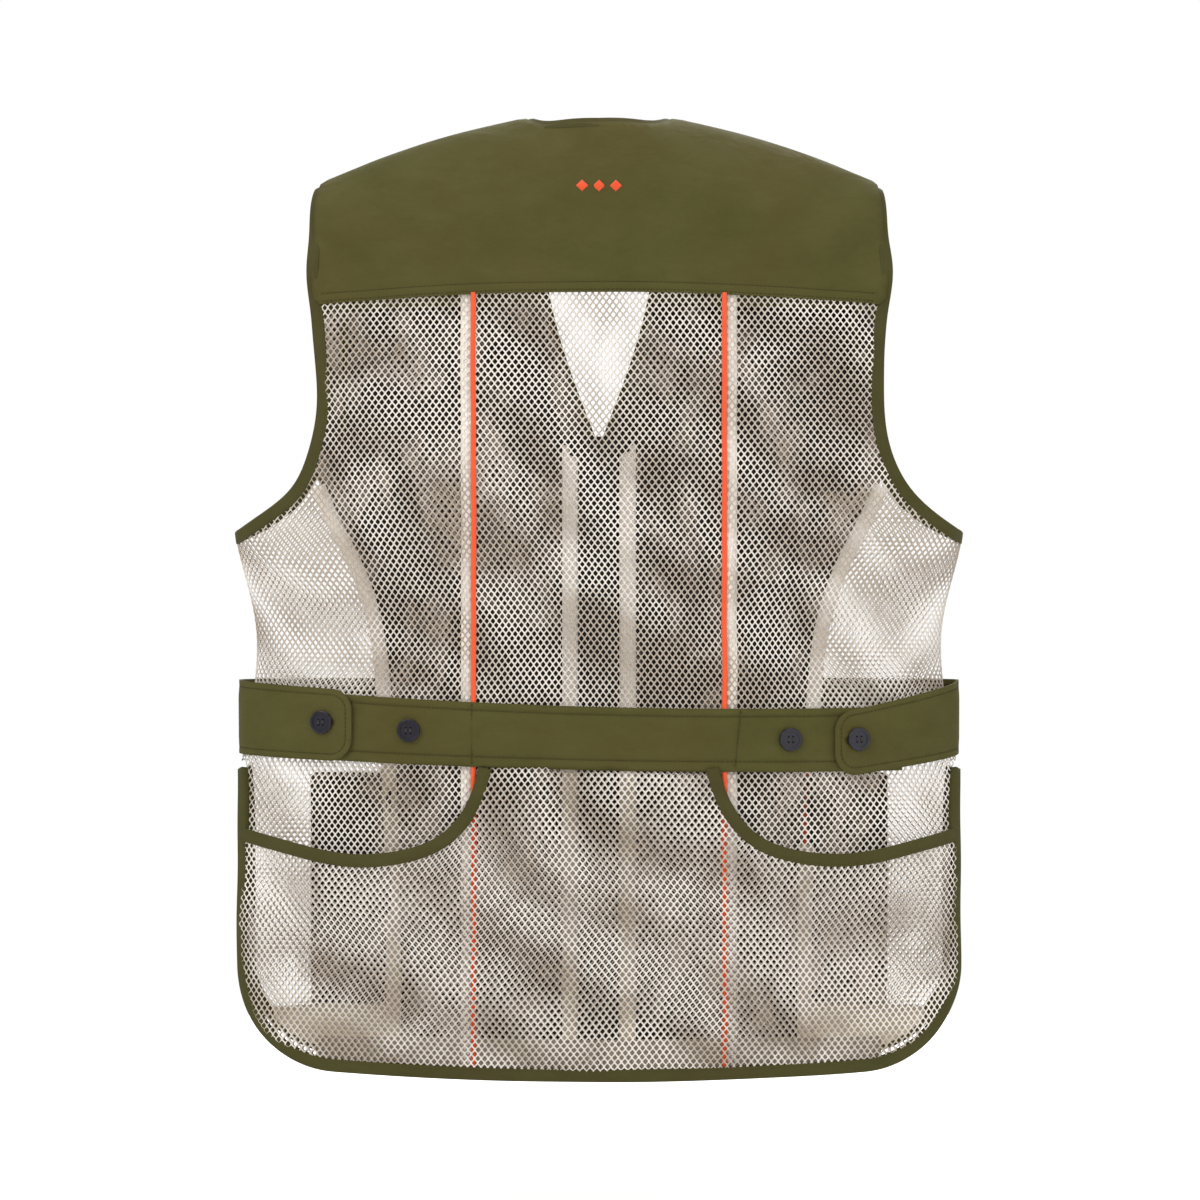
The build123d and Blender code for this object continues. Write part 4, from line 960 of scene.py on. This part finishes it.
FRONT_TAPES = {"left": {"upper": (-262, -490), "lower": (-490, -724)},
               "right": {"upper": (-262, -503), "lower": (-557, -724)}}
ZIP_FACINGS = {"upper": (-238, -489), "lower": (-490, -722)}
INNER_CLOTH = {"upper": LIGHT_TAPE, "lower": FACING}
FRONT_TAPE_SECTION = [(-6, -0.3), (6, -0.3), (6, 0.3), (0, 0.4), (-6, 0.3)]
panel_line = front_loop()
side_line = front_side_loop()
for word, sign in SIDES:
    loop = to_tube(on_side(panel_line, sign))
    seam_row = seam[(seam[:, 1] < -275) & (seam[:, 1] > -722)] - [7, 0]
    seam_row = to_tube(on_side(seam_row, sign))
    settle(panel(f"{word}_front_cloth", loop, FRONT, 1.2, 7.0, TWILL, creases=[seam_row]),
           "olive_twill", f"{word}_front_panel")
    sew(FRONT, seam_row, 0.45)
    # A sheet inside each front panel, coloured with the near-black painted shade and the painted, shaded second
    # net.
    settle(panel(f"{word}_front_shade_lining", loop, FRONT, 0.5, 9.0, SHADE_LINING, off=-1.3), "tan_mesh")
    settle(net(f"{word}_front_side_net", on_side(side_line, sign), FRONT, NET, tilt=-0.05 * sign),
           "tan_mesh", f"{word}_front_side_mesh")
    below_arm = distance(arm_front, seam) > 13
    line = seam[(seam[:, 1] > SEAM_LOW) & below_arm]
    settle(pipe(f"{word}_front_cord", *lay(FRONT, sign * girth(line[:, 0], line[:, 1]), line[:, 1])),
           "orange_cord", f"{word}_front_piping")
    for part, (top, bottom) in FRONT_TAPES[word].items():
        line = seam[(seam[:, 1] < top) & (seam[:, 1] > bottom) & below_arm] + [1.5, 0]
        path, normal = lay(FRONT, sign * girth(line[:, 0], line[:, 1]), line[:, 1], -1.9)
        settle(sweep(f"{word}_front_seam_tape_{part}", path, sideways(path, normal), normal,
                     FRONT_TAPE_SECTION, INNER_CLOTH[part]), "tan_mesh")
    for part, (high, low) in ZIP_FACINGS.items():
        strip = to_tube(on_side([(16.5, high), (30, high), (30, low), (16.5, low)], sign))
        settle(panel(f"{word}_zip_facing_{part}", strip, FRONT, 0.8, 5.0, INNER_CLOTH[part], off=-2.2),
               "tan_facing", f"{word}_zip_facing")
    # A sheet of the same painted shade behind the pocket's outer part, where it lies on the side net.
    backing = to_tube(on_side([(168.5, -506), (232, -506), (232, -698), (168.5, -698)], sign))
    settle(panel(f"{word}_pocket_shade_sheet", backing, FRONT, 0.5, 8.0, SHADE_LINING, off=-1.3), "tan_mesh")


def hem_facing(name, surface, near, far, top, sign=1):
    """A strip of facing cloth inside a hem, between two distances from the middle."""
    foot = dense(skirt_edge(TUCK), 4.0)
    foot = foot[(foot[:, 0] > near) & (foot[:, 0] < far)]
    loop = np.concatenate([foot, [(foot[-1, 0], top), (foot[0, 0], top)]])
    loop = to_tube(on_side(closed(loop), sign))[:-1]
    settle(panel(name, loop, surface, 0.5, 6.0, FACING, off=-1.7), "tan_facing")


for word, sign in SIDES:
    hem_facing(f"{word}_back_hem_facing", BACK, -1, 222, -704, sign)
    hem_facing(f"{word}_front_hem_facing", FRONT, 169, 262, -690, sign)


# ---- Front yokes, shoulder patches --------------------------------------------------------------

def front_yoke_loop():
    """The right front yoke, from the shoulder seam to its lower edge."""
    arm = moved(arm_front, TUCK)
    arm = fold_line(arm[arm[:, 1] > yoke_z(arm[:, 0]) - 3], 1)
    arm = arm[arm[:, 1] < seam_b(arm[:, 0])]
    neck = fold_line(neck_edge[neck_edge[:, 1] > yoke_z(neck_edge[:, 0]) - 3], 1)
    neck = neck[neck[:, 1] < seam_b(neck[:, 0])]
    xs = np.linspace(neck[-1, 0], arm[0, 0], 30)
    low = np.linspace(arm[-1, 0], neck[0, 0], 30)[1:-1]
    return np.concatenate([neck, np.stack([xs, seam_b(xs)], 1)[1:-1], arm,
                           np.stack([low, ridge_distance(low, yoke_z(low) - 3, 1)], 1)])


def patch_loop():
    """The right shoulder patch, from the shoulder seam down, round at its lower inner corner."""
    near, far, corner, nick = 84.0, 206.0, 40.0, 10.0
    foot = lambda x: ridge_distance(np.array([x]), np.array([-300.0]), 1)[0]
    bend = corner_arc(near + corner, foot(near + corner) + corner, corner, -90, -180, 12)
    xs = np.linspace(near, far, 26)
    end = corner_arc(far - nick, foot(far) + nick, nick, 0, -90, 12)
    return np.concatenate([bend, np.stack([xs, seam_b(xs) - 3], 1), end])


def quilt_lines(loop, gap):
    """Slanting quilting rows that stay inside an outline."""
    rows = []
    low, high = loop.min(0), loop.max(0)
    for start in np.arange(low[0] - (high[1] - low[1]) * 0.5, high[0], gap):
        t = np.linspace(0, 1, 90)
        row = np.stack([start + (high[1] - low[1]) * 0.5 * t, low[1] + (high[1] - low[1]) * t], 1)
        keep = inside(loop, row) & (distance(closed(loop), row) > 5)
        if keep.sum() > 8:
            rows.append(row[keep])
    return rows


patch_line = patch_loop()
patch_edge = closed(patch_line)
patch_rows = quilt_lines(patch_line, 24.0)
patch_seam = moved(dense(patch_edge, 6.0), 3.0)
if not inside(patch_line, patch_seam[20:21])[0]:
    patch_seam = moved(dense(patch_edge, 6.0), -3.0)
yoke_line = front_yoke_loop()
for word, sign in SIDES:
    settle(panel(f"{word}_front_yoke_cloth", on_side(yoke_line, sign), fold, 1.2, 6.0, TWILL, off=0.4),
           "olive_twill", f"{word}_front_yoke")
    rows = [on_side(row, sign) for row in patch_rows]
    edge = on_side(patch_edge, sign)

    def padding(a, b, rows=rows, edge=edge):
        pts = np.stack([a, b], 1)
        near = np.minimum(np.min([distance(r, pts) for r in rows], axis=0), distance(edge, pts))
        return 1.3 * ease(near / 9.0) - 0.9

    cloth = panel(f"{word}_patch_cloth", on_side(patch_line, sign), fold, 2.0, 4.5, TWILL, off=3.2,
                  relief=padding, creases=rows, groove=0.6)
    settle(cloth, "olive_twill", f"{word}_shoulder_patch", f"{word}_recoil_pad")
    for row in rows:
        sew(fold, row, 3.1)
    sew(fold, on_side(patch_seam, sign), 3.5)


# ---- Game pouch, belt and straps ----------------------------------------------------------------

mouth = spline(POUCH_MOUTH, 70)


def pouch_loop():
    """The game pouch's outline: a mouth each side, and its top just under the belt."""
    edge = moved(mouth, TUCK)
    edge = edge[edge[:, 1] < arc_z(BELT_BOTTOM, edge[:, 0]) - 1]
    edge = edge[edge[:, 0] < SKIRT_X - TUCK]
    skirt = skirt_edge(TUCK)
    skirt = skirt[skirt[:, 1] < -548]
    half = np.concatenate([edge, skirt])
    xs = np.linspace(-edge[0, 0], edge[0, 0], 30)[1:-1]
    return np.concatenate([half, on_side(half, -1)[::-1], np.stack([xs, arc_z(BELT_BOTTOM, xs) - 1], 1)])


settle(net("game_pouch_net", pouch_loop(), pouch, NET, tilt=0.03), "tan_mesh", "game_pouch")
for word, sign in SIDES:
    line = mouth[(mouth[:, 0] < 281) & (mouth[:, 1] < arc_z(BELT_BOTTOM, mouth[:, 0]) + 7)]
    part = lay(pouch, sign * girth(line[:, 0], line[:, 1]), line[:, 1])
    bind(f"{word}_mouth_tape", part, lambda p: p * [0.8, 1, 1] + [0, 0, -60.0], f"{word}_pouch_mouth_binding")

belt_x = np.linspace(-BELT_HALF, BELT_HALF, 120)
belt_top, belt_low = arc_z(BELT_TOP, belt_x), arc_z(BELT_BOTTOM, belt_x)


def belt_line(z):
    return np.stack([girth(belt_x, z), z], 1)


def belt_upright(x, lean=0.0):
    z = np.linspace(arc_z(BELT_TOP, x) - 1, arc_z(BELT_BOTTOM, x) + 1, 24)
    return np.stack([girth(x + lean * (z - z.mean()), z), z], 1)


def belt_puff(u, z):
    """Cloth puckers between the belt's rows, and folds by its upright seams."""
    x = across(u, z)
    share = (z - arc_z(BELT_BOTTOM, x)) / (arc_z(BELT_TOP, x) - arc_z(BELT_BOTTOM, x))
    body = np.sin(math.pi * np.clip((share - 0.1) / 0.8, 0, 1)) ** 0.7
    by_rows = np.exp(-((share - 0.1) / 0.09) ** 2) + np.exp(-((share - 0.9) / 0.09) ** 2)
    pucker = 0.16 * np.sin(x / 1.9 + 2.0 * np.sin(x / 17)) * by_rows
    fold_a = 1.0 * np.sin((x + 0.7 * z) / 5.5) * np.exp(-((x - 112) / 24) ** 2)
    fold_b = 0.9 * np.sin((x - 0.5 * z) / 6.5) * np.exp(-((x + 108) / 26) ** 2)
    fold_c = 0.5 * np.sin((x + 0.35 * z + 6 * np.sin(x / 31)) / 8.5 + 1.0)
    button = 1 - np.exp(-(np.hypot(np.abs(x) - 147.5, z + 468) / 16) ** 4)
    return 0.3 * body + pucker + (fold_a + fold_b + fold_c) * body * button


belt_loop = np.concatenate([belt_line(belt_top), belt_line(belt_low)[::-1]])
belt_rows = [belt_line(belt_top - 6.0)[2:-2], belt_line(belt_low + 8.0)[2:-2],
             belt_upright(-98.0), belt_upright(107.0, 0.1)]
settle(panel("waist_belt_cloth", belt_loop, BACK, BELT_THICK, 3.0, TWILL, off=BELT_OFF, relief=belt_puff,
             creases=belt_rows, groove=0.85), "olive_twill", "waist_belt")
for row in belt_rows:
    sew(BACK, row, BELT_OFF + BELT_THICK / 2 + 0.2)


def strap_surface(sign):
    """Round the side: the first coordinate runs from the side seam, positive to the back."""
    turns = np.linspace(0, math.pi / 2, 400)
    behind, ahead = (run_along(np.stack([STRAP_X * np.cos(turns), deep * np.sin(turns)], 1))
                     for deep in (TAB_DEEP, ANCHOR_DEEP))

    def surface(s, z):
        turn = np.where(s > 0, np.interp(s, behind, turns), -np.interp(-s, ahead, turns))
        deep = np.where(turn > 0, TAB_DEEP, ANCHOR_DEEP)
        return np.stack([sign * STRAP_X * np.cos(turn), -deep * np.sin(turn), z + 0 * s], -1)

    def reach(x, back):
        turn = np.arccos(np.clip(x / STRAP_X, 0, 1))
        return float(np.interp(turn, turns, behind) if back else -np.interp(turn, turns, ahead))
    return surface, reach


def oval(center, long, high, tilt=0.0, count=20):
    """A tilted oval, for a buttonhole and its stitches."""
    turn = np.linspace(0, 2 * math.pi, count, endpoint=False)
    a, b = long * np.cos(turn), high * np.sin(turn)
    return np.array(center) + np.stack([a * math.cos(tilt) - b * math.sin(tilt),
                                        a * math.sin(tilt) + b * math.cos(tilt)], 1)


def strap(dims, inset=0.0):
    """A tab's surface, and its outline with its anchor in that surface's coordinates."""
    surface, reach = strap_surface(dims["side"])
    corner = 17.0 - inset
    end = reach(dims["end"], True) - inset
    top_of = lambda s: np.interp(s, [0, end + inset], [STRAP_TOP, dims["top"]]) - inset
    low_of = lambda s: np.interp(s, [0, end + inset], [STRAP_BOTTOM, dims["bottom"]]) + inset
    top = corner_arc(end - corner, top_of(end) - corner, corner, 90, 0, 12)
    low = corner_arc(end - corner, low_of(end) + corner, corner, 0, -90, 12)
    start = reach(ANCHOR_END, False) + inset
    loop = np.concatenate([[(start, STRAP_TOP - inset), (0, STRAP_TOP - inset)], top, low,
                           [(0, STRAP_BOTTOM + inset), (start, STRAP_BOTTOM + inset)]])
    return surface, reach, dense(closed(loop), 3.0)[:-1]


for word, dims in TABS.items():
    surface, reach, loop = strap(dims)
    row = closed(strap(dims, 5.0)[2])
    x, z = dims["button"]
    spot = (reach(x, True), z)
    tilt = math.atan2(dims["top"] - STRAP_TOP, reach(dims["end"], True)) * 0.8
    slit = oval(spot, 8.0, 2.6, tilt)

    def soft(s, z, row=row, spot=spot):
        pts = np.stack([s, z], 1)
        inner = ease((distance(row, pts)) / 9.0) * inside(row, pts)
        ripple = 0.14 * np.sin(s / 2.0 + 1.5 * np.sin(z / 9)) * np.exp(-(distance(row, pts) / 4.0) ** 2)
        crease = 0.5 * np.sin((s * 0.9 + z * 0.5) / 6.0) * np.exp(-((s - spot[0] * 0.45) / 30) ** 2)
        return 0.45 * inner + ripple + crease * inner

    cloth = panel(f"{word}_tab_cloth", loop, surface, BELT_THICK, 2.8, TWILL, relief=soft, holes=[slit],
                  creases=[row])
    worked = closed(oval(spot, 9.6, 3.9, tilt, 44))
    sewn = stitches(f"{word}_tab_stitching",
                    [lay(surface, *dense(row, 2.0).T, 0.85), lay(surface, *worked.T, 1.35)], THREAD)
    for obj, nodes in ((cloth, (f"{word}_waist_tab", f"{word}_strap_anchor")), (sewn, ())):
        settle(obj, "olive_twill", *nodes, rides=False)
        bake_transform(obj)


# ---- Buttons' threads ---------------------------------------------------------------------------

def belt_spot(x, z):
    """The CAD's button plane on the belt: its middle, sideways, up and outward directions."""
    wide, deep = float(half_width(z)) + 3.5, DEEP + 3.5
    y = -deep * math.sqrt(1 - (x / wide) ** 2)
    out = unit(np.array([x / wide ** 2, y / deep ** 2, 0]))
    return np.array([x, y, z]), np.array([-out[1], out[0], 0]), np.array([0, 0, 1.0]), out


def strand(points, radius=0.42, sides=6):
    """A thread along points, as verts and faces."""
    pts = np.array(points, float)
    along = unit(np.gradient(pts, axis=0))
    u = unit(np.cross(along, [0.3, 0.2, 0.93]))
    v = np.cross(along, u)
    turn = np.linspace(0, 2 * math.pi, sides, endpoint=False)[None, :, None]
    verts = pts[:, None] + radius * (u[:, None] * np.cos(turn) + v[:, None] * np.sin(turn))
    return verts.reshape(-1, 3), loft_faces(len(pts), sides)


def gather(name, parts, mat):
    """One mesh from several (verts, faces)."""
    verts, faces, size = [], [], 0
    for v, f in parts:
        verts.append(v)
        faces += [[i + size for i in face] for face in f]
        size += len(v)
    return make(name, np.concatenate(verts), faces, mat)


TAB_SHANK, SPARE_SHANK, BUTTON_HIGH = 5.3, 1.2, 3.2
HOLE_AT, COIL_STEP, COIL_RADIUS = 1.8, 0.75, 1.5
threads = []
for word, dims in TABS.items():
    for (x, z), shank in ((dims["button"], TAB_SHANK), (SPARES[word], SPARE_SHANK)):
        middle, u, v, n = belt_spot(dims["side"] * x, z)
        foot = shank + BUTTON_HIGH - 3.0
        for along in (-HOLE_AT, HOLE_AT):
            for wobble in (-0.28, 0.28):
                threads.append(strand([middle + u * (along + wobble) + v * HOLE_AT * (1 - 2 * a)
                                       + n * (foot + 2.9 * math.sin(math.pi * a) ** 0.35)
                                       for a in np.linspace(0, 1, 9)]))
        for k in range(max(2, int(shank / COIL_STEP))):
            threads.append(strand([middle + (u * math.cos(a) + v * math.sin(a)) * COIL_RADIUS
                                   + n * (0.5 + k * COIL_STEP + 0.08 * a)
                                   for a in np.linspace(0, 2 * math.pi, 14)], 0.45))
settle(gather("button_sewing", threads, BUTTON_THREAD), "black_thread", "button_threads")


# ---- Shell pockets ------------------------------------------------------------------------------

POCKET_NEAR, POCKET_FAR, POCKET_TOP, POCKET_LOW = 36.0, 232.0, -505.0, -698.0
POCKET_CORNER, POCKET_OFF, POCKET_DEEP = 28.0, 1.6, 15.4
pocket_outline = np.concatenate([
    [(POCKET_NEAR, POCKET_TOP), (POCKET_FAR, POCKET_TOP)],
    corner_arc(POCKET_FAR - POCKET_CORNER, POCKET_LOW + POCKET_CORNER, POCKET_CORNER, 0, -90, 10),
    corner_arc(POCKET_NEAR + POCKET_CORNER, POCKET_LOW + POCKET_CORNER, POCKET_CORNER, -90, -180, 10)])
pocket_line = to_tube(pocket_outline)
pocket_rim = to_tube(closed(pocket_outline)[1:])
pocket_rows = [to_tube([(POCKET_NEAR + 12, -517), (POCKET_FAR - 12, -517)], 3.0),
               to_tube([(134, -520), (134, -686)], 3.0)]
for word, sign in SIDES:
    rim_line = on_side(pocket_rim, sign)

    def bellows(u, z, rim_line=rim_line):
        """A gusset's step at the sides and foot, then a soft, fuller face."""
        d = distance(rim_line, np.stack([u, z], 1))
        folds = 0.7 * np.sin(u / 19 + z / 23) + 0.5 * np.sin(u / 11 - z / 31)
        full = POCKET_DEEP + 2.0 * ease((-540 - z) / 90) + folds
        return full * (0.5 * ease(d / 5.0) + 0.5 * ease((d - 1.0) / 9.0))

    rows = [on_side(row, sign) for row in pocket_rows]
    cloth = panel(f"{word}_pocket_cloth", on_side(pocket_line, sign), FRONT, 1.2, 3.6, TWILL, off=POCKET_OFF,
                  relief=bellows, creases=rows)
    settle(cloth, "olive_twill", f"{word}_shell_pocket")
    edge = on_side([(POCKET_NEAR + 1.5, POCKET_TOP + 0.5), (POCKET_FAR - 1.5, POCKET_TOP + 0.5)], sign)
    edge = to_tube(edge, 3.0).T
    bind(f"{word}_pocket_tape", lay(FRONT, *edge, POCKET_OFF + bellows(*edge)), lambda p: p + [0, 0, -40.0],
         f"{word}_pocket_binding", half=1.3)
    THREAD_PATHS.append(lay(FRONT, *rows[1].T, POCKET_OFF + 0.35 + bellows(*rows[1].T)))


# ---- Zip tapes, guard, rings' loops, hang loop, label, embroidery -------------------------------

def flat_strip(name, outline, y, spacing, relief):
    """A piece of zip cloth in an upright plane: its surface takes x and z."""
    surface = lambda x, z: np.stack([x, np.full_like(x * z, y), z + 0 * x], -1)
    return panel(name, outline, surface, 0.9, spacing, ZIP_CLOTH, relief=relief)


def ribbed(x, z):
    return 0.12 * np.cos(np.abs(x) * 2.4)


def wrinkled(x, z):
    return 0.35 * np.sin(z / 9 + x / 6) + 0.2 * np.sin(z / 4.3)


TAPE = [(3.4, -237), (16, -237), (16, -725), (3.4, -725)]
GUARD = [(-17, -725), (15, -725), (15, -246), (25, -243), (24, -231), (-25, -231), (-24, -246), (-17, -249)]
for word, sign in SIDES:
    tape = dense(on_side(closed(np.array(TAPE)), sign), 4.0)[:-1]
    settle(flat_strip(f"{word}_tape_cloth", tape, 70.0, 3.2, ribbed), "zip_cloth", f"{word}_zip_tape")
guard = dense(closed(np.array(GUARD)), 4.0)[:-1]
settle(flat_strip("zip_guard_cloth", guard, 66.0, 4.0, wrinkled), "olive_twill", "zip_guard")

RING_X, RING_Z, RING_STAND, WRAP = 128.0, -322.0, 4.9, 2.85
WEBBING_SECTION = [(-9.4, -0.4), (9.4, -0.4), (9.5, 0.0), (9.4, 0.5),
                   (4, 0.62), (-4, 0.62), (-9.4, 0.5), (-9.5, 0.0)]
wide = float(half_width(RING_Z))
ring_y = DEEP * math.sqrt(1 - (RING_X / wide) ** 2)
ring_out = unit(np.array([RING_X / wide ** 2, ring_y / DEEP ** 2, 0]))
for word, sign in SIDES:
    out = ring_out * [sign, 1, 1]
    pin = np.array([sign * RING_X, ring_y, RING_Z]) + out * RING_STAND
    path = np.array([pin - out * 2.6 + [0, 0, high] for high in (17, 12, 7, 3.6)]
                    + [pin + out * (WRAP * math.cos(a)) + [0, 0, WRAP * math.sin(a)]
                       for a in np.linspace(math.radians(160), math.radians(-140), 20)])
    lateral = np.tile([-out[1], out[0], 0.0], (len(path), 1))
    outward = np.cross(unit(np.gradient(path, axis=0)), lateral)
    settle(sweep(f"{word}_ring_webbing", path, lateral, outward, WEBBING_SECTION, BIND), "olive_binding",
           f"{word}_ring_loop")

turn = np.linspace(0, math.pi, 40)
loop_path = np.stack([21.5 * np.cos(turn), np.full(len(turn), -50.8), 4 - 19.5 * np.sin(turn)], 1)
loop_normal = np.tile([0, -1.0, 0], (len(turn), 1))
settle(sweep("hang_loop_tape", loop_path, sideways(loop_path, loop_normal), loop_normal,
             [(-2.5, -0.55), (2.5, -0.55), (2.6, 0), (2.5, 0.55), (0, 0.75), (-2.5, 0.55), (-2.6, 0)], BIND),
       "olive_binding", "hang_loop")

label = dense([(-21, -12), (21, -12), (21, -46), (-21, -46), (-21, -12)], 4.0)[:-1]
label = np.stack([label[:, 0], ridge_distance(label[:, 0], label[:, 1], -1)], 1)
settle(panel("size_label_cloth", label, fold, 0.6, 4.0, LABEL, off=-1.4,
             relief=lambda a, b: 0.15 * np.sin(a / 5)), "label_cloth", "size_label")


def satin_diamond(cx, cz, radius=4.5, rows=15):
    """A diamond filled with close threads, on the yoke."""
    parts = []
    for k in range(rows):
        x = cx + radius * (-1 + 2 * (k + 0.5) / rows)
        half = radius - abs(x - cx)
        if half < 0.3:
            continue
        z = np.linspace(cz + half, cz - half, 7)
        arch = 0.5 * np.sin(np.linspace(0, math.pi, 7)) ** 0.5
        p, _ = lay(fold, np.full(7, x), ridge_distance(np.full(7, x), z, -1), YOKE_OFF + 0.7 + arch)
        parts.append(strand(p, 0.36, 5))
    return parts


diamonds = [part for k in (-1, 0, 1) for part in satin_diamond(13.0 * k, -44.0)]
settle(gather("yoke_diamonds", diamonds, ORANGE), "orange_cord", "yoke_embroidery")

# CAD nodes that keep their shape and take a better finish.
KEPT = {BUTTON: ("left_tab_button", "right_tab_button", "left_spare_button", "right_spare_button"),
        ZIP_PLASTIC: ("left_zip_teeth", "right_zip_teeth", "zip_stops", "zip_box"),
        METAL: ("zip_slider", "zip_pull", "left_d_ring", "right_d_ring")}
for mat, nodes in KEPT.items():
    for node in nodes:
        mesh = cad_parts[node].data
        mesh.materials.clear()
        mesh.materials.append(mat)


# ---- Camera, light and floor --------------------------------------------------------------------

def studio():
    """The camera behind the vest, four soft lamps, a white world and a pale floor."""
    middle = -0.364
    camera = bpy.data.objects.new("camera", bpy.data.cameras.new("camera"))
    bpy.context.scene.collection.objects.link(camera)
    camera.data.lens = 100
    camera.location = (0.0008, -2.645, middle)
    camera.rotation_euler = (math.radians(90), 0, 0)
    bpy.context.scene.camera = camera
    for name, place, power, size, colour in (
            ("key", (-1.7, -2.3, 1.4), 42, 1.6, (1.0, 0.98, 0.95)),
            ("fill", (1.9, -2.4, 0.3), 15, 2.2, (0.96, 0.98, 1.0)),
            ("top", (0.2, -0.3, 1.9), 20, 1.6, (1, 1, 1)),
            ("behind", (0.6, 2.1, 0.9), 60, 2.0, (1, 1, 1))):
        lamp = bpy.data.lights.new(name, "AREA")
        lamp.energy, lamp.size, lamp.color = power, size, colour
        obj = bpy.data.objects.new(name, lamp)
        bpy.context.scene.collection.objects.link(obj)
        obj.location = place
        obj.rotation_euler = (Vector((0, 0, middle)) - Vector(place)).to_track_quat("-Z", "Y").to_euler()
    world = bpy.data.worlds.new("studio")
    world.use_nodes = True
    background = world.node_tree.nodes["Background"]
    background.inputs["Color"].default_value = (1, 1, 1, 1)
    background.inputs["Strength"].default_value = 1.0
    bpy.context.scene.world = world
    bpy.context.scene.view_settings.view_transform = "Standard"
    s = Shade("pale_floor", (0.93, 0.93, 0.92), 0.9)
    s.colour(s.mix(s.noise(1.5), (0.92, 0.92, 0.915), (0.94, 0.94, 0.935)))
    corners = [(-1800, -3200, -830), (1800, -3200, -830), (1800, 1100, -830), (-1800, 1100, -830)]
    make("floor", corners, [(0, 1, 2, 3)], s.mat)


# ---- Cuts, studio and stitching -----------------------------------------------------------------

for word in ("left", "right"):
    del CUTS[f"{word}_patch_cloth"]

studio()
settle(stitches("stitching", THREAD_PATHS, THREAD), "olive_twill")
